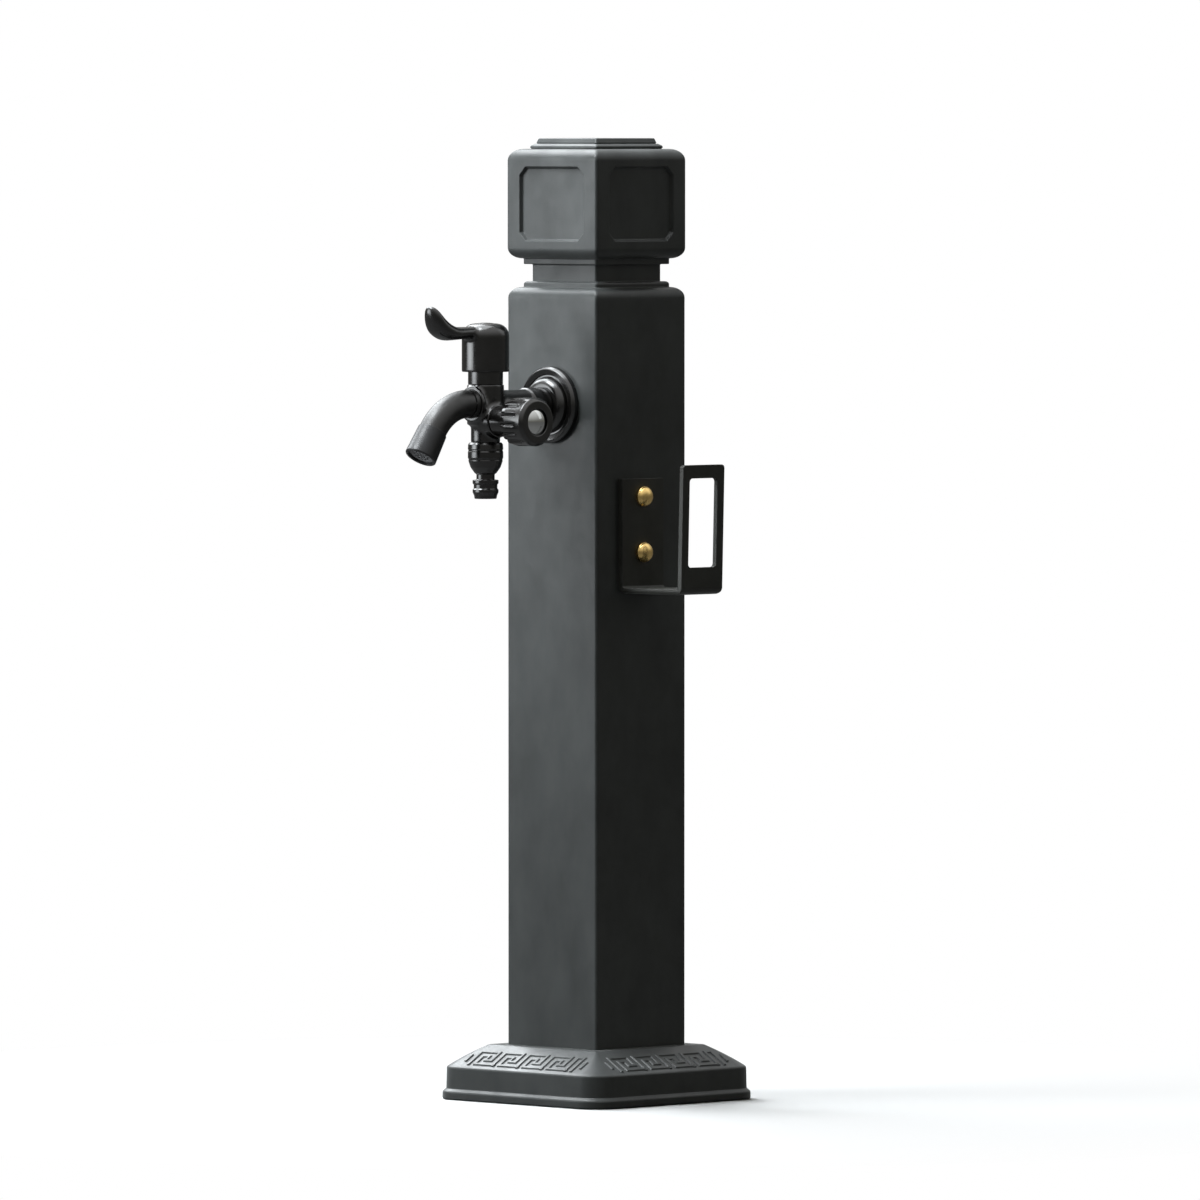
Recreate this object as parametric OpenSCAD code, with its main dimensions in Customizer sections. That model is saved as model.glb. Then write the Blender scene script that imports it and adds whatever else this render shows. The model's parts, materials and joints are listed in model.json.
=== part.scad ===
// Garden standpipe: a square post on a cast shoe, with a two-outlet tap and a hose hook.
// Millimetres. The origin is on the ground at the post's axis and +Z is up.
// The tap points to -Y, its side knob and the hose hook to +X.

/* [Post] */
// Width across the flats of the square post
post_w = 100; // [94:1:112]
// Wall of the post tube
post_wall = 3; // [2:0.5:4]
// Rounding of the post's upright edges
post_edge_r = 2.5; // [1:0.5:4]
// Length of the post tube
post_len = 625; // [450:5:900]

/* [Base shoe] */
// Flat ledge of the shoe around the post
shoe_ledge = 10.5; // [6:0.5:16]
// Horizontal run of the sloped top
shoe_slope_run = 29.5; // [24:0.5:40]
// Rise of the sloped top
shoe_slope_h = 17.5; // [12:0.5:24]
// Height of the upright sides
shoe_side_h = 25.5; // [20:0.5:36]
// Rounding of the shoe's corners at the sides
shoe_corner_r = 21; // [14:1:26]
// Rounding of the corners at the ledge
shoe_top_r = 5; // [2:0.5:10]
// Wall of the casting
shoe_wall = 4; // [3:0.5:6]
// Height of the bead at the foot
bead_h = 8; // [5:0.5:12]
// How far the bead stands out of the sides
bead_out = 3; // [1.5:0.5:5]

/* [Ground plate] */
// Thickness of the ground plate
plate_t = 6; // [4:0.5:10]
// Gap between the plate and the shoe's inside
plate_gap = 6; // [3:0.5:10]
// Anchor hole's centre from the plate's edge
anchor_inset = 12; // [10:0.5:16]
// Diameter of the anchor holes
anchor_d = 11; // [9:0.5:13]
// Diameter of the pipe opening in the plate
pipe_hole_d = 64; // [60:1:76]
// Height of the spigot that holds the post
spigot_h = 60; // [45:1:90]
// Wall of the spigot
spigot_wall = 4; // [3:0.5:6]
// Height of the post screws above the plate
post_screw_rise = 18; // [14:0.5:22]

/* [Column head] */
// Depth of the plug inside the post
plug_h = 30; // [20:1:45]
// Wall of the head casting
head_wall = 4; // [3:0.5:5]
// Height of the rounded shoulder on the post
shoulder_h = 11.5; // [10.5:0.5:18]
// Radius of the shoulder's rounding
shoulder_r = 9; // [6:0.5:10]
// Inset of the collars from the post's faces
collar_inset = 8.7; // [8:0.1:11]
// Height of each collar
collar_h = 4.5; // [3:0.5:7]
// Inset of the neck from the collars
neck_inset = 5; // [3:0.5:7]
// Height of the neck between the collars
neck_h = 13.5; // [8:0.5:24]
// How far the block stands out of the post's faces
block_out = 0.3; // [0:0.1:4]
// Height of the block
block_h = 86.5; // [75:0.5:110]
// Rounding of the block's top and bottom edges
block_edge_r = 9; // [5:0.5:10]
// Width of a recessed panel
panel_w = 73; // [60:0.5:76]
// Height of a recessed panel
panel_h = 60; // [45:0.5:62]
// Cut-off corner of a panel
panel_cut = 7; // [4:0.5:12]
// Depth of a panel
panel_depth = 2; // [1:0.25:3]
// Width of the panel's bevelled edge
panel_bevel = 2.6; // [1:0.1:4]

/* [Head lid] */
// Inset of the lid's lower step from the block's faces
lid_inset = 12.8; // [11:0.1:18]
// Height of the lower step
lid_low_h = 4; // [3:0.5:8]
// Inset of the upper step from the lower one
lid_step = 2; // [1:0.5:5]
// Height of the upper step
lid_top_h = 4.5; // [3:0.5:8]
// Draft of the upper step's sides
lid_draft = 2.2; // [0.5:0.1:3]
// Depth of the lid's plug in the block
lid_plug_h = 8; // [5:0.5:14]
// Width of the seat under the lid's lower step
lid_seat = 5; // [3:0.5:7]

/* [Water supply] */
// Outside diameter of the half-inch pipe thread
thread_d = 20.955; // [20.8:0.005:21.1]
// Diameter of the waterways in the fittings
water_d = 14; // [10:0.5:15]
// Outside diameter of the riser pipe
riser_d = 20; // [18:0.5:22]
// Outside diameter of the elbow and of its sockets
elbow_d = 27; // [26:0.5:30]
// Depth of the elbow's threaded socket
elbow_socket = 14; // [10:0.5:18]
// From the bottom of that socket to the elbow's corner
elbow_reach = 17; // [14:0.5:20]
// From the elbow's corner down to its lower mouth
elbow_drop = 30; // [24:0.5:40]
// Depth of the sockets that hold the riser pipe
riser_socket = 15; // [10:0.5:18]
// Height of the adapter's threaded end above the ground
inlet_z = 9; // [7:0.5:14]
// Length of the adapter's thread
inlet_thread_l = 20; // [14:0.5:26]
// Width across the flats of the adapter and the lock nut
hex_af = 30; // [28:0.5:32]
// Thickness of the lock nut
lock_nut_t = 6; // [4:0.5:9]
// Thickness of the wall gasket
gasket_t = 2; // [1:0.25:4]

/* [Tap body] */
// Tap's axis below the top of the post tube
tap_drop = 81; // [70:1:140]
// From the post's face to the valve's upright axis
tap_reach = 73; // [66:0.5:90]
// Diameter of the inlet barrel
barrel_d = 25; // [24:0.5:28]
// Diameter of the collar at the wall flange
inlet_collar_d = 28; // [27.5:0.5:34]
// Length of that collar
inlet_collar_l = 18; // [3:0.5:22]
// Diameter of the wall flange
flange_d = 60.6; // [50:0.2:70]
// Thickness of the wall flange's rim
flange_rim_t = 6.5; // [5:0.5:8]
// Height of the wall flange's middle
flange_h = 12; // [11:0.5:16]
// Width of the flat band round the wall flange
flange_band_w = 6; // [4:0.2:9]
// Width of the groove inside that band
flange_groove_w = 2.4; // [1.5:0.1:4]
// Depth of that groove
flange_groove_depth = 1.2; // [0.5:0.1:2]
// Rounding of the wall flange's outer edge
flange_edge_r = 2.5; // [1:0.25:4]
// Diameter of the valve chamber
chamber_d = 29; // [28:0.5:32]
// Top of the chamber above the tap's axis
chamber_top = 17; // [16:0.5:20]
// Front of the spout port from the valve axis
port_reach = 16; // [15:0.5:20]
// Diameter of the spout port's ring
port_d = 27; // [26:0.5:30]
// Length of the port's ring
port_ring_l = 3; // [2:0.5:5]

/* [Spout] */
// Diameter of the spout
spout_d = 22; // [20:0.5:24]
// Spout's axis above the tap's axis
spout_rise = 2.2; // [1:0.2:4]
// Length of the spout's straight root in front of the port
spout_root_l = 3.6; // [2:0.2:6]
// Radius of the bend
bend_r = 46; // [40:1:60]
// Angle of the bend
bend_angle = 57; // [40:0.5:75]
// Straight end of the spout inside the tip
spout_end_l = 6; // [4:0.5:9]
// Length of the tip
tip_l = 24.4; // [18:0.2:30]
// Diameter of the tip at the spout
tip_d1 = 23.6; // [23.2:0.1:27]
// Diameter of the tip at its mouth
tip_d2 = 25.6; // [24:0.1:28]
// Bore of the tip's mouth
mouth_d = 20; // [16:0.5:21]
// Thickness of the flow straightener
straightener_t = 7; // [4:0.5:9]
// Depth of the straightener behind the mouth
straightener_back = 2; // [1:0.25:4]

/* [Lever valve] */
// Bore of the valve chamber
valve_bore_d = 20; // [19:0.5:20.5]
// Diameter of the bonnet's thread
bonnet_thread_d = 24; // [23.5:0.1:25]
// Diameter of the bonnet
bonnet_d = 27.5; // [27:0.5:28.5]
// Height of the bonnet's ring above the body
bonnet_h = 12; // [10:0.5:14]
// Height of the bonnet's nose
bonnet_nose_h = 7; // [5:0.5:8]
// Diameter of the spindle
spindle_d = 8; // [7:0.25:9]
// Height of the spindle above the bonnet's nose
spindle_out = 13; // [11:0.5:14]
// Thickness of the ceramic discs
disc_t = 3; // [2:0.25:4]
// Diameter of the handle's cap
cap_d = 36.6; // [35:0.2:42]
// Height of the handle's cap
cap_h = 37; // [36:0.5:42]
// Wall of the handle's cap
cap_wall = 3; // [2:0.25:3.5]
// Rounding of the cap's top edge
cap_r = 9; // [5:0.5:10]
// Gap from the body's top to the cap's skirt
cap_lift = 10; // [8:0.5:11]
// Length of the lever from the valve axis
lever_len = 62.8; // [50:0.2:90]
// Thickness of the lever
lever_t = 8.5; // [5:0.5:10]
// Width of the lever at the cap
lever_w1 = 12; // [9:0.5:18]
// Width of the lever at its end
lever_w2 = 19; // [12:0.5:24]
// Distance of the lever's start of rise from the valve axis
lever_flat = 30; // [26:1:40]
// Rise of the lever's end
lever_rise = 17.5; // [8:0.5:26]
// Lever's middle below the cap's top
lever_below = 7; // [6:0.5:12]
// Diameter of the plug in the cap's top
plug_d = 13; // [11:0.5:16]

/* [Side valve] */
// Side valve's axis below the tap's axis
side_drop = 11.5; // [10.5:0.25:13]
// End of the side branch from the valve axis
side_reach = 16; // [15.5:0.5:20]
// Diameter of the side branch
side_d = 26; // [24:0.5:27]
// Bore of the side valve's chamber
side_bore_d = 17; // [16:0.5:17.5]
// Diameter of the side bonnet's thread
side_thread_d = 21; // [20:0.1:21.5]
// Diameter of the side bonnet
side_bonnet_d = 24; // [22.5:0.5:26]
// Length of the side bonnet's ring
side_bonnet_l = 15; // [12:0.5:18]
// Length of the side bonnet's nose
side_nose_l = 6; // [4:0.5:8]
// Diameter of the side spindle
side_spindle_d = 7; // [6:0.25:8]
// Length of the side spindle beyond the nose
side_spindle_out = 12; // [8:0.5:14]
// Thickness of the side valve's ceramic discs
side_disc_t = 2.5; // [2:0.25:3]
// Diameter of the knob
knob_d = 38; // [35:0.5:42]
// Length of the knob
knob_l = 25; // [24:0.5:34]
// Gap from the side bonnet's ring to the knob's skirt
knob_lift = 2.5; // [1:0.5:4]
// Length of the smooth ring at the knob's front
knob_ring_l = 7; // [4:0.5:9]
// Number of grip flutes on the knob
knob_flutes = 15; // [6:1:18]
// Depth of the flutes
flute_depth = 1.2; // [0.5:0.1:1.5]
// Wall of the knob's skirt
knob_wall = 3.6; // [3:0.1:4.5]
// Diameter of the bright button
button_d = 19.5; // [16:0.5:22]
// Height of the button's dome
button_dome = 1.8; // [1:0.1:3]

/* [Hose nipple] */
// Diameter of the lower outlet branch
branch_d = 23; // [22:0.5:25]
// Length of the branch below the tap's axis
branch_l = 28.4; // [26:0.2:36]
// Length of the branch's thread
branch_thread_l = 10; // [7:0.5:14]
// Diameter of the nipple's collar
collar_d = 26.8; // [25:0.2:30]
// Length of the collar
collar_l = 14; // [11:0.5:18]
// Length of the taper below the collar
taper_l = 10.5; // [8:0.5:16]
// Diameter of the groove for the coupling's jaws
groove_d = 14.4; // [13:0.2:16]
// Length of the groove
groove_l = 4.5; // [3:0.5:7]
// Diameter of the coupling ring
ring_d = 20.4; // [18:0.2:22]
// Length of the coupling ring
ring_l = 9.6; // [6:0.2:12]
// Diameter of the nipple's end
end_d = 17.5; // [16:0.2:18]
// Length of the nipple's tapered end
end_l = 5.6; // [4:0.2:9]
// Bore of the nipple
nipple_bore_d = 10; // [8:0.5:11]

/* [Hose hook] */
// Top of the hook's back plate below the top of the post tube
hook_drop = 139; // [125:1:220]
// Offset of the hook from the middle of the post's face
hook_y = -2; // [-10:0.5:10]
// Width of the hook
hook_w = 46; // [42:1:70]
// Thickness of the hook's plate
hook_t = 4; // [3:0.5:5]
// Height of the back plate
hook_back_h = 90; // [84:1:120]
// Clear depth of the hook
hook_depth = 61; // [45:1:90]
// Height of the front plate
hook_front_h = 102; // [92:1:140]
// How far the front plate leans outwards at its top
hook_lean = 2.5; // [0:0.5:6]
// Inside radius of the hook's bends
hook_bend_r = 2; // [1:0.5:6]
// Rounding of the front plate's top corners
hook_corner_r = 3; // [1:0.5:8]
// Width of the slot in the front plate
slot_w = 31; // [22:1:34]
// Height of the slot
slot_h = 70; // [50:1:72]
// Bottom of the slot above the hook's underside
slot_z = 21.5; // [14:0.5:24]
// Rounding of the slot's corners
slot_r = 3; // [1:0.5:6]
// Upper hook bolt below the back plate's top
bolt_top = 14; // [11:0.5:20]
// Distance between the hook bolts
bolt_pitch = 44; // [36:1:52]
// Diameter of the hook bolts
bolt_d = 10; // [8:0.5:10]
// Width across the flats of the hook's bolt heads
bolt_af = 16; // [15:0.5:18]
// Diameter of a cap nut
cap_nut_d = 16; // [15:0.2:18]
// Height of a cap nut's upright rim
cap_nut_rim_h = 2.5; // [2:0.25:5]
// Height of a cap nut's dome
cap_nut_dome_h = 4.5; // [3.5:0.25:7]
// Height of a hook bolt's head
bolt_head_h = 6.4; // [5:0.2:8]
// Thickness of the washers under the bolt heads
washer_t = 2; // [1:0.25:3]

/* [Hidden] */
$fn = 64;

// Clearances
slip = 0.2;          // parts that slide into each other, on each side
thread_gap = 0.1;    // round a plain cylinder that stands for a thread
running_gap = 0.04;  // round a spindle that turns in its bore
disc_gap = 0.1;      // between the faces of the ceramic discs
bolt_clear = 0.3;    // round the hook's bolts
cut = 1;             // how far a cutting solid passes a face
sheet = 0.1;         // thin slab that ends a hull

// Screws
screw_d = 4.8;
screw_head_d = 9;
screw_head_h = 3;
screw_past = 2.5;    // beyond the wall that it holds
small_screw_d = 4;
small_head_d = 7.5;
small_head_h = 2.6;

// Post and shoe
inner_w = post_w - 2 * post_wall;
plug_w = inner_w - 2 * slip;
tube_z0 = plate_t;
tube_z1 = tube_z0 + post_len;
shoe_top_w = post_w + 2 * shoe_ledge;
shoe_w = shoe_top_w + 2 * shoe_slope_run;
shoe_h = shoe_side_h + shoe_slope_h;
shoe_inner_w = shoe_w - 2 * shoe_wall;
plate_w = shoe_inner_w - 2 * plate_gap;
plate_corner_r = max(shoe_corner_r - shoe_wall - plate_gap, 2);
anchor_pitch = plate_w - 2 * anchor_inset;
post_screw_z = plate_t + post_screw_rise;

// Column head
collar_w = post_w - 2 * collar_inset;
neck_w = collar_w - 2 * neck_inset;
block_w = post_w + 2 * block_out;
collar_z = tube_z1 + shoulder_h;
neck_z = collar_z + collar_h;
upper_collar_z = neck_z + neck_h;
block_z = upper_collar_z + collar_h;
block_top_z = block_z + block_h;
neck_inner_w = neck_w - 2 * head_wall;
block_inner_w = block_w - 2 * (head_wall + panel_depth);
lid_low_w = block_w - 2 * lid_inset;
lid_hole_w = lid_low_w - 2 * lid_seat;
head_screw_z = tube_z1 - plug_h / 2;
head_screw_x = post_w / 4;

// Tap and water supply
tap_z = tube_z1 - tap_drop;
tap_y = -(post_w / 2 + tap_reach);
flange_face = tap_reach - flange_h;            // where the tap's collar meets the wall flange
gasket_y = tap_reach + post_wall;
lock_nut_y = gasket_y + gasket_t;
socket_y = lock_nut_y + lock_nut_t;
shank_end = socket_y + elbow_socket;
elbow_y = shank_end + elbow_reach;
riser_top = -elbow_drop + riser_socket;        // from the tap's axis
hex_z = inlet_z + inlet_thread_l;
adapter_web = 6;
adapter_h = riser_socket + adapter_web;
riser_z0 = hex_z + adapter_h - riser_socket;
elbow_mid = elbow_y + tap_y;                   // riser's axis from the post's axis

// Waterways in the tap's body, from the tap's axis
seat_port_d = 9;                               // passage from the inlet up to the seat
feed_drop = 6;                                 // that passage below the inlet's bore
feed_lap = 4;                                  // how far it runs under the bore
inlet_end = valve_bore_d / 2 + 3;
sump_z = -11;
side_feed_d = 6;                               // passages to and from the side valve
side_feed_rise = 2;

// Lever valve, heights from the tap's axis
seat_z = 3;
seal_t = 1.5;
cup_wall = 1.5;                                // wall of a cartridge's cup
seal_inset = cup_wall + slip;                  // fixed disc and seal inside the bore
moving_inset = cup_wall + 0.5;                 // moving disc and driver inside the bore
cup_slot_w = 6;
nose_wall = 4;
hub_wall = 3.5;
head_clear = 0.4;                              // between a screw's head and the part over it
disc_z = seat_z + seal_t;
moving_z = disc_z + disc_t + disc_gap;
drive_z = moving_z + disc_t;
drive_t = 3;
cup_top = drive_z + drive_t + disc_gap;
cartridge_neck = 8;
cartridge_top = cup_top + cartridge_neck;
bonnet_thread_l = 7;
thread_z = chamber_top - bonnet_thread_l;
bonnet_top = chamber_top + bonnet_h;
nose_top = bonnet_top + bonnet_nose_h;
spindle_top = nose_top + spindle_out;
cap_z = chamber_top + cap_lift;
cap_top = cap_z + cap_h;
hub_d = spindle_d + 2 * hub_wall;
hub_z = nose_top + 1.5;                        // clear of the fixed nose
plug_t = 3;
plug_proud = 0.3;
head_seat_z = cap_top - plug_t - small_head_h - head_clear;
lever_z = cap_top - lever_below;

// Side valve, distances from the tap's upright axis
side_seat_x = 5;
side_seal_t = 1.2;
side_disc_x = side_seat_x + side_seal_t;
side_moving_x = side_disc_x + side_disc_t + disc_gap;
side_drive_x = side_moving_x + side_disc_t;
side_drive_t = 2.5;
side_cup_end = side_drive_x + side_drive_t + disc_gap;
side_cartridge_neck = 6;
side_cartridge_end = side_cup_end + side_cartridge_neck;
side_thread_l = 5;
side_thread_x = side_reach - side_thread_l;
side_bonnet_end = side_reach + side_bonnet_l;
side_nose_end = side_bonnet_end + side_nose_l;
side_spindle_end = side_nose_end + side_spindle_out;
knob_x = side_bonnet_end + knob_lift;
knob_end = knob_x + knob_l;
side_slot_w = 5;
knob_hub_d = side_spindle_d + 2 * hub_wall - 1;
knob_hub_x = side_nose_end + 1;
knob_web_x = side_spindle_end - 2;
button_seat = 3.5;
knob_head_x = knob_end - button_seat - small_head_h - head_clear;
knob_chamfer = 2.4;
flute_d = 3.2;

// Spout
bend_start = port_reach + spout_root_l;
spout_root_d = spout_d + 0.6;                  // stands a little proud of the bend
spigot_d = spout_d - 5;
spigot_end = -bonnet_thread_d / 2 - slip;        // stops short of the bonnet's thread
spout_bore_d = min(water_d, spigot_d - 2);
spout_end_d = spout_d - 1;                     // turned down to enter the tip

// Hose nipple, heights from the tap's axis
branch_z = -branch_l;
branch_end = branch_z - branch_thread_l;
nipple_washer_t = 2;
washer_z = branch_end - nipple_washer_t;
nipple_chamfer = 1.5;
collar_bottom = branch_z - collar_l;
taper_bottom = collar_bottom - taper_l;
groove_bottom = taper_bottom - groove_l;
ring_bottom = groove_bottom - ring_l;
nipple_end = ring_bottom - end_l;

// Hose hook
hook_x = post_w / 2;
hook_top = tube_z1 - hook_drop;
hook_z = hook_top - hook_back_h;
hook_front_x = hook_x + hook_t + hook_depth;
bolt_z = [hook_top - bolt_top, hook_top - bolt_top - bolt_pitch];
bolt_hole_d = bolt_d + 2 * bolt_clear;
washer_d = bolt_af + 4;
bolt_tip_x = hook_x + hook_t + cap_nut_rim_h;
cap_nut_step = 0.4;                            // ledge round the foot of a cap nut's dome

// Shapes that repeat

// Cylinders along each axis, between two positions
module along_x(x0, x1, d) {
    translate([x0, 0, 0]) rotate([0, 90, 0]) cylinder(d = d, h = x1 - x0);
}
module along_y(y0, y1, d) {
    translate([0, y0, 0]) rotate([-90, 0, 0]) cylinder(d = d, h = y1 - y0);
}
module along_z(z0, z1, d) {
    translate([0, 0, z0]) cylinder(d = d, h = z1 - z0);
}
module ring_x(x0, x1, d, bore) {
    difference() {
        along_x(x0, x1, d);
        along_x(x0 - cut, x1 + cut, bore);
    }
}
module ring_y(y0, y1, d, bore) {
    difference() {
        along_y(y0, y1, d);
        along_y(y0 - cut, y1 + cut, bore);
    }
}
module ring_z(z0, z1, d, bore) {
    difference() {
        along_z(z0, z1, d);
        along_z(z0 - cut, z1 + cut, bore);
    }
}
module hexagon_along_z(af, h) {
    cylinder(d = af / cos(30), h = h, $fn = 6);
}

// A rectangle with round corners
module round_rect(w, h, r, segments = 64) {
    square([w - 2 * r, h], center = true);
    square([w, h - 2 * r], center = true);
    for (x = [-1, 1], y = [-1, 1])
        translate([x * (w / 2 - r), y * (h / 2 - r)]) circle(r = r, $fn = segments);
}
module quarter_round(r) {
    intersection() {
        circle(r = r);
        square(r);
    }
}
module round_slab(w, r, z, t) {
    translate([0, 0, z]) linear_extrude(t) round_rect(w, w, r, 32);
}
module square_slab(w, z0, z1) {
    translate([-w / 2, -w / 2, z0]) cube([w, w, z1 - z0]);
}

// Half the outline of a dome, for turning about the y axis
module dome_outline(d, h) {
    r = (pow(d / 2, 2) + pow(h, 2)) / (2 * h);
    intersection() {
        translate([0, h - r]) circle(r = r, $fn = 128);
        square([d / 2, h]);
    }
}

// A body of square section whose outline is the same from the front and from the side
module square_turned(w) {
    intersection() {
        rotate([90, 0, 0]) linear_extrude(w, center = true) children();
        rotate([90, 0, 90]) linear_extrude(w, center = true) children();
    }
}

// Copies on the four faces of the post
module on_four_faces() {
    for (a = [0 : 90 : 270]) rotate(a) children();
}
module at_tap() {
    translate([0, tap_y, tap_z]) children();
}
module at_side_valve() {
    at_tap() translate([0, 0, -side_drop]) children();
}
module at_bolts() {
    for (z = bolt_z) translate([0, hook_y, z]) children();
}

// Base and post

module shoe_outline(inset, top_inset) {
    hull() {
        round_slab(shoe_w - 2 * inset, shoe_corner_r - inset, -inset, shoe_side_h);
        round_slab(shoe_top_w - 2 * inset, max(shoe_top_r - inset, 1), shoe_h - top_inset - sheet, sheet);
    }
}
module shoe_bead() {
    bead_w = shoe_w + 2 * bead_out;
    bead_r = shoe_corner_r + bead_out;
    foot_in = 0.15 * bead_out;
    top_in = 0.8 * bead_out;
    hull() {
        round_slab(bead_w - 2 * foot_in, bead_r - foot_in, 0, sheet);
        round_slab(bead_w, bead_r, bead_h * 0.3, bead_h * 0.4);
        round_slab(bead_w - 2 * top_in, bead_r - top_in, bead_h - sheet, sheet);
    }
}
module base_shoe() {
    color("#3b3f40") difference() {
        union() {
            shoe_outline(0, 0);
            shoe_bead();
        }
        shoe_outline(shoe_wall, shoe_wall);
        translate([0, 0, -cut]) linear_extrude(shoe_side_h / 2 + cut)
            round_rect(shoe_inner_w, shoe_inner_w, shoe_corner_r - shoe_wall);
        square_slab(post_w + 2 * slip, -cut, shoe_h + cut);
    }
}
module ground_plate() {
    color("silver") difference() {
        linear_extrude(plate_t) round_rect(plate_w, plate_w, plate_corner_r);
        along_z(-cut, plate_t + cut, pipe_hole_d);
        for (x = [-1, 1], y = [-1, 1])
            translate([x * anchor_pitch / 2, y * anchor_pitch / 2, 0])
                along_z(-cut, plate_t + cut, anchor_d);
    }
}
module post_spigot() {
    color("silver") difference() {
        square_slab(plug_w, plate_t, plate_t + spigot_h);
        square_slab(plug_w - 2 * spigot_wall, plate_t - cut, plate_t + spigot_h + cut);
        on_four_faces() translate([0, 0, post_screw_z]) along_y(-post_w, 0, screw_d + 2 * thread_gap);
    }
}
module pan_screw(length) {
    along_y(-screw_head_h, 0, screw_head_d);
    along_y(0, length, screw_d);
}
module post_screws() {
    color("gainsboro") on_four_faces()
        translate([0, -post_w / 2, post_screw_z]) pan_screw(post_wall + slip + spigot_wall + screw_past);
}
module post_tube() {
    color("#3b3f40") difference() {
        translate([0, 0, tube_z0]) linear_extrude(post_len) difference() {
            round_rect(post_w, post_w, post_edge_r);
            square(inner_w, center = true);
        }
        at_tap() along_y(tap_reach - cut, tap_reach + post_wall + cut, thread_d + 2 * slip);
        at_bolts() along_x(post_w / 2 - post_wall - cut, post_w / 2 + cut, bolt_hole_d);
        on_four_faces() translate([0, 0, post_screw_z])
            along_y(-post_w / 2 - cut, -inner_w / 2 + cut, screw_d + 2 * slip);
        for (side = [-1, 1]) translate([side * head_screw_x, 0, head_screw_z])
            along_y(inner_w / 2 - cut, post_w / 2 + cut, screw_d + 2 * slip);
    }
}

// Column head

module strip(w, z0, z1) {
    translate([-w / 2, z0]) square([w, z1 - z0]);
}
module head_outline() {
    strip(plug_w, tube_z1 - plug_h, tube_z1 + cut);
    strip(post_w, tube_z1, collar_z - shoulder_r);
    strip(post_w - 2 * shoulder_r, tube_z1, collar_z);
    for (side = [0, 1]) mirror([side, 0]) translate([post_w / 2 - shoulder_r, collar_z - shoulder_r])
        quarter_round(shoulder_r);
    strip(collar_w, collar_z - cut, neck_z);
    strip(neck_w, neck_z - cut, upper_collar_z + cut);
    strip(collar_w, upper_collar_z, block_z + cut);
    translate([0, block_z + block_h / 2]) round_rect(block_w, block_h, block_edge_r);
}
module panel_recess() {
    inner_cut = panel_cut - panel_bevel * (2 - sqrt(2));
    translate([0, -block_w / 2, block_z + block_h / 2]) rotate([90, 0, 0]) hull() {
        panel_plate(panel_w, panel_h, panel_cut, 0);
        panel_plate(panel_w - 2 * panel_bevel, panel_h - 2 * panel_bevel, inner_cut, -panel_depth);
    }
}
module panel_plate(w, h, corner, z) {
    x = w / 2;
    y = h / 2;
    translate([0, 0, z]) linear_extrude(sheet / 10) polygon([
        [x - corner, -y], [x, corner - y], [x, y - corner], [x - corner, y],
        [corner - x, y], [-x, y - corner], [-x, corner - y], [corner - x, -y]
    ]);
}
module column_head() {
    color("#3b3f40") difference() {
        intersection() {
            square_turned(2 * post_w) head_outline();
            translate([0, 0, tube_z1 - plug_h]) linear_extrude(block_top_z)
                round_rect(block_w, block_w, post_edge_r);
        }
        on_four_faces() panel_recess();
        square_slab(plug_w - 2 * head_wall, tube_z1 - plug_h - cut, tube_z1 + shoulder_h - head_wall);
        square_slab(neck_inner_w, tube_z1, block_z + head_wall + cut);
        square_slab(block_inner_w, block_z + head_wall, block_top_z - head_wall);
        square_slab(lid_hole_w, block_top_z - head_wall - cut, block_top_z + cut);
        for (side = [-1, 1]) translate([side * head_screw_x, 0, head_screw_z])
            along_y(0, post_w, screw_d + 2 * thread_gap);
    }
}
module head_screws() {
    color("gainsboro") for (side = [-1, 1])
        translate([side * head_screw_x, post_w / 2, head_screw_z]) rotate(180)
            pan_screw(post_wall + slip + head_wall + screw_past);
}
module head_lid() {
    top_w = lid_low_w - 2 * lid_step;
    low_z = block_top_z + lid_low_h;
    color("#3b3f40") difference() {
        square_turned(2 * post_w) {
            strip(lid_low_w, block_top_z, low_z);
            polygon([
                [-top_w / 2, low_z], [top_w / 2, low_z],
                [top_w / 2 - lid_draft, low_z + lid_top_h], [lid_draft - top_w / 2, low_z + lid_top_h]
            ]);
            strip(lid_hole_w - 2 * slip, block_top_z - lid_plug_h, block_top_z);
        }
        square_slab(lid_hole_w - 2 * slip - 2 * head_wall, block_top_z - lid_plug_h - cut, block_top_z);
    }
}

// Water supply inside the post

module inlet_adapter() {
    color("goldenrod") translate([0, elbow_mid, 0]) difference() {
        union() {
            along_z(inlet_z, hex_z, thread_d);
            translate([0, 0, hex_z]) hexagon_along_z(hex_af, adapter_h);
        }
        along_z(inlet_z - cut, hex_z + cut, water_d);
        along_z(hex_z, riser_z0, water_d);
        along_z(riser_z0, hex_z + adapter_h + cut, riser_d + 2 * thread_gap);
    }
}
module riser_pipe() {
    color("sandybrown") translate([0, elbow_mid, 0])
        ring_z(riser_z0, tap_z + riser_top, riser_d, water_d);
}
module riser_elbow() {
    color("goldenrod") at_tap() difference() {
        union() {
            along_y(socket_y, elbow_y, elbow_d);
            translate([0, elbow_y, 0]) sphere(d = elbow_d);
            translate([0, elbow_y, 0]) along_z(-elbow_drop, 0, elbow_d);
        }
        along_y(socket_y - cut, shank_end, thread_d + 2 * thread_gap);
        along_y(shank_end - cut, elbow_y, water_d);
        translate([0, elbow_y, 0]) {
            along_z(riser_top - cut, 0, water_d);
            sphere(d = water_d);
            along_z(-elbow_drop - cut, riser_top, riser_d + 2 * thread_gap);
        }
    }
}
module lock_nut() {
    color("goldenrod") at_tap() translate([0, lock_nut_y, 0]) rotate([-90, 0, 0]) difference() {
        hexagon_along_z(hex_af, lock_nut_t);
        along_z(-cut, lock_nut_t + cut, thread_d + 2 * thread_gap);
    }
}
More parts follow.
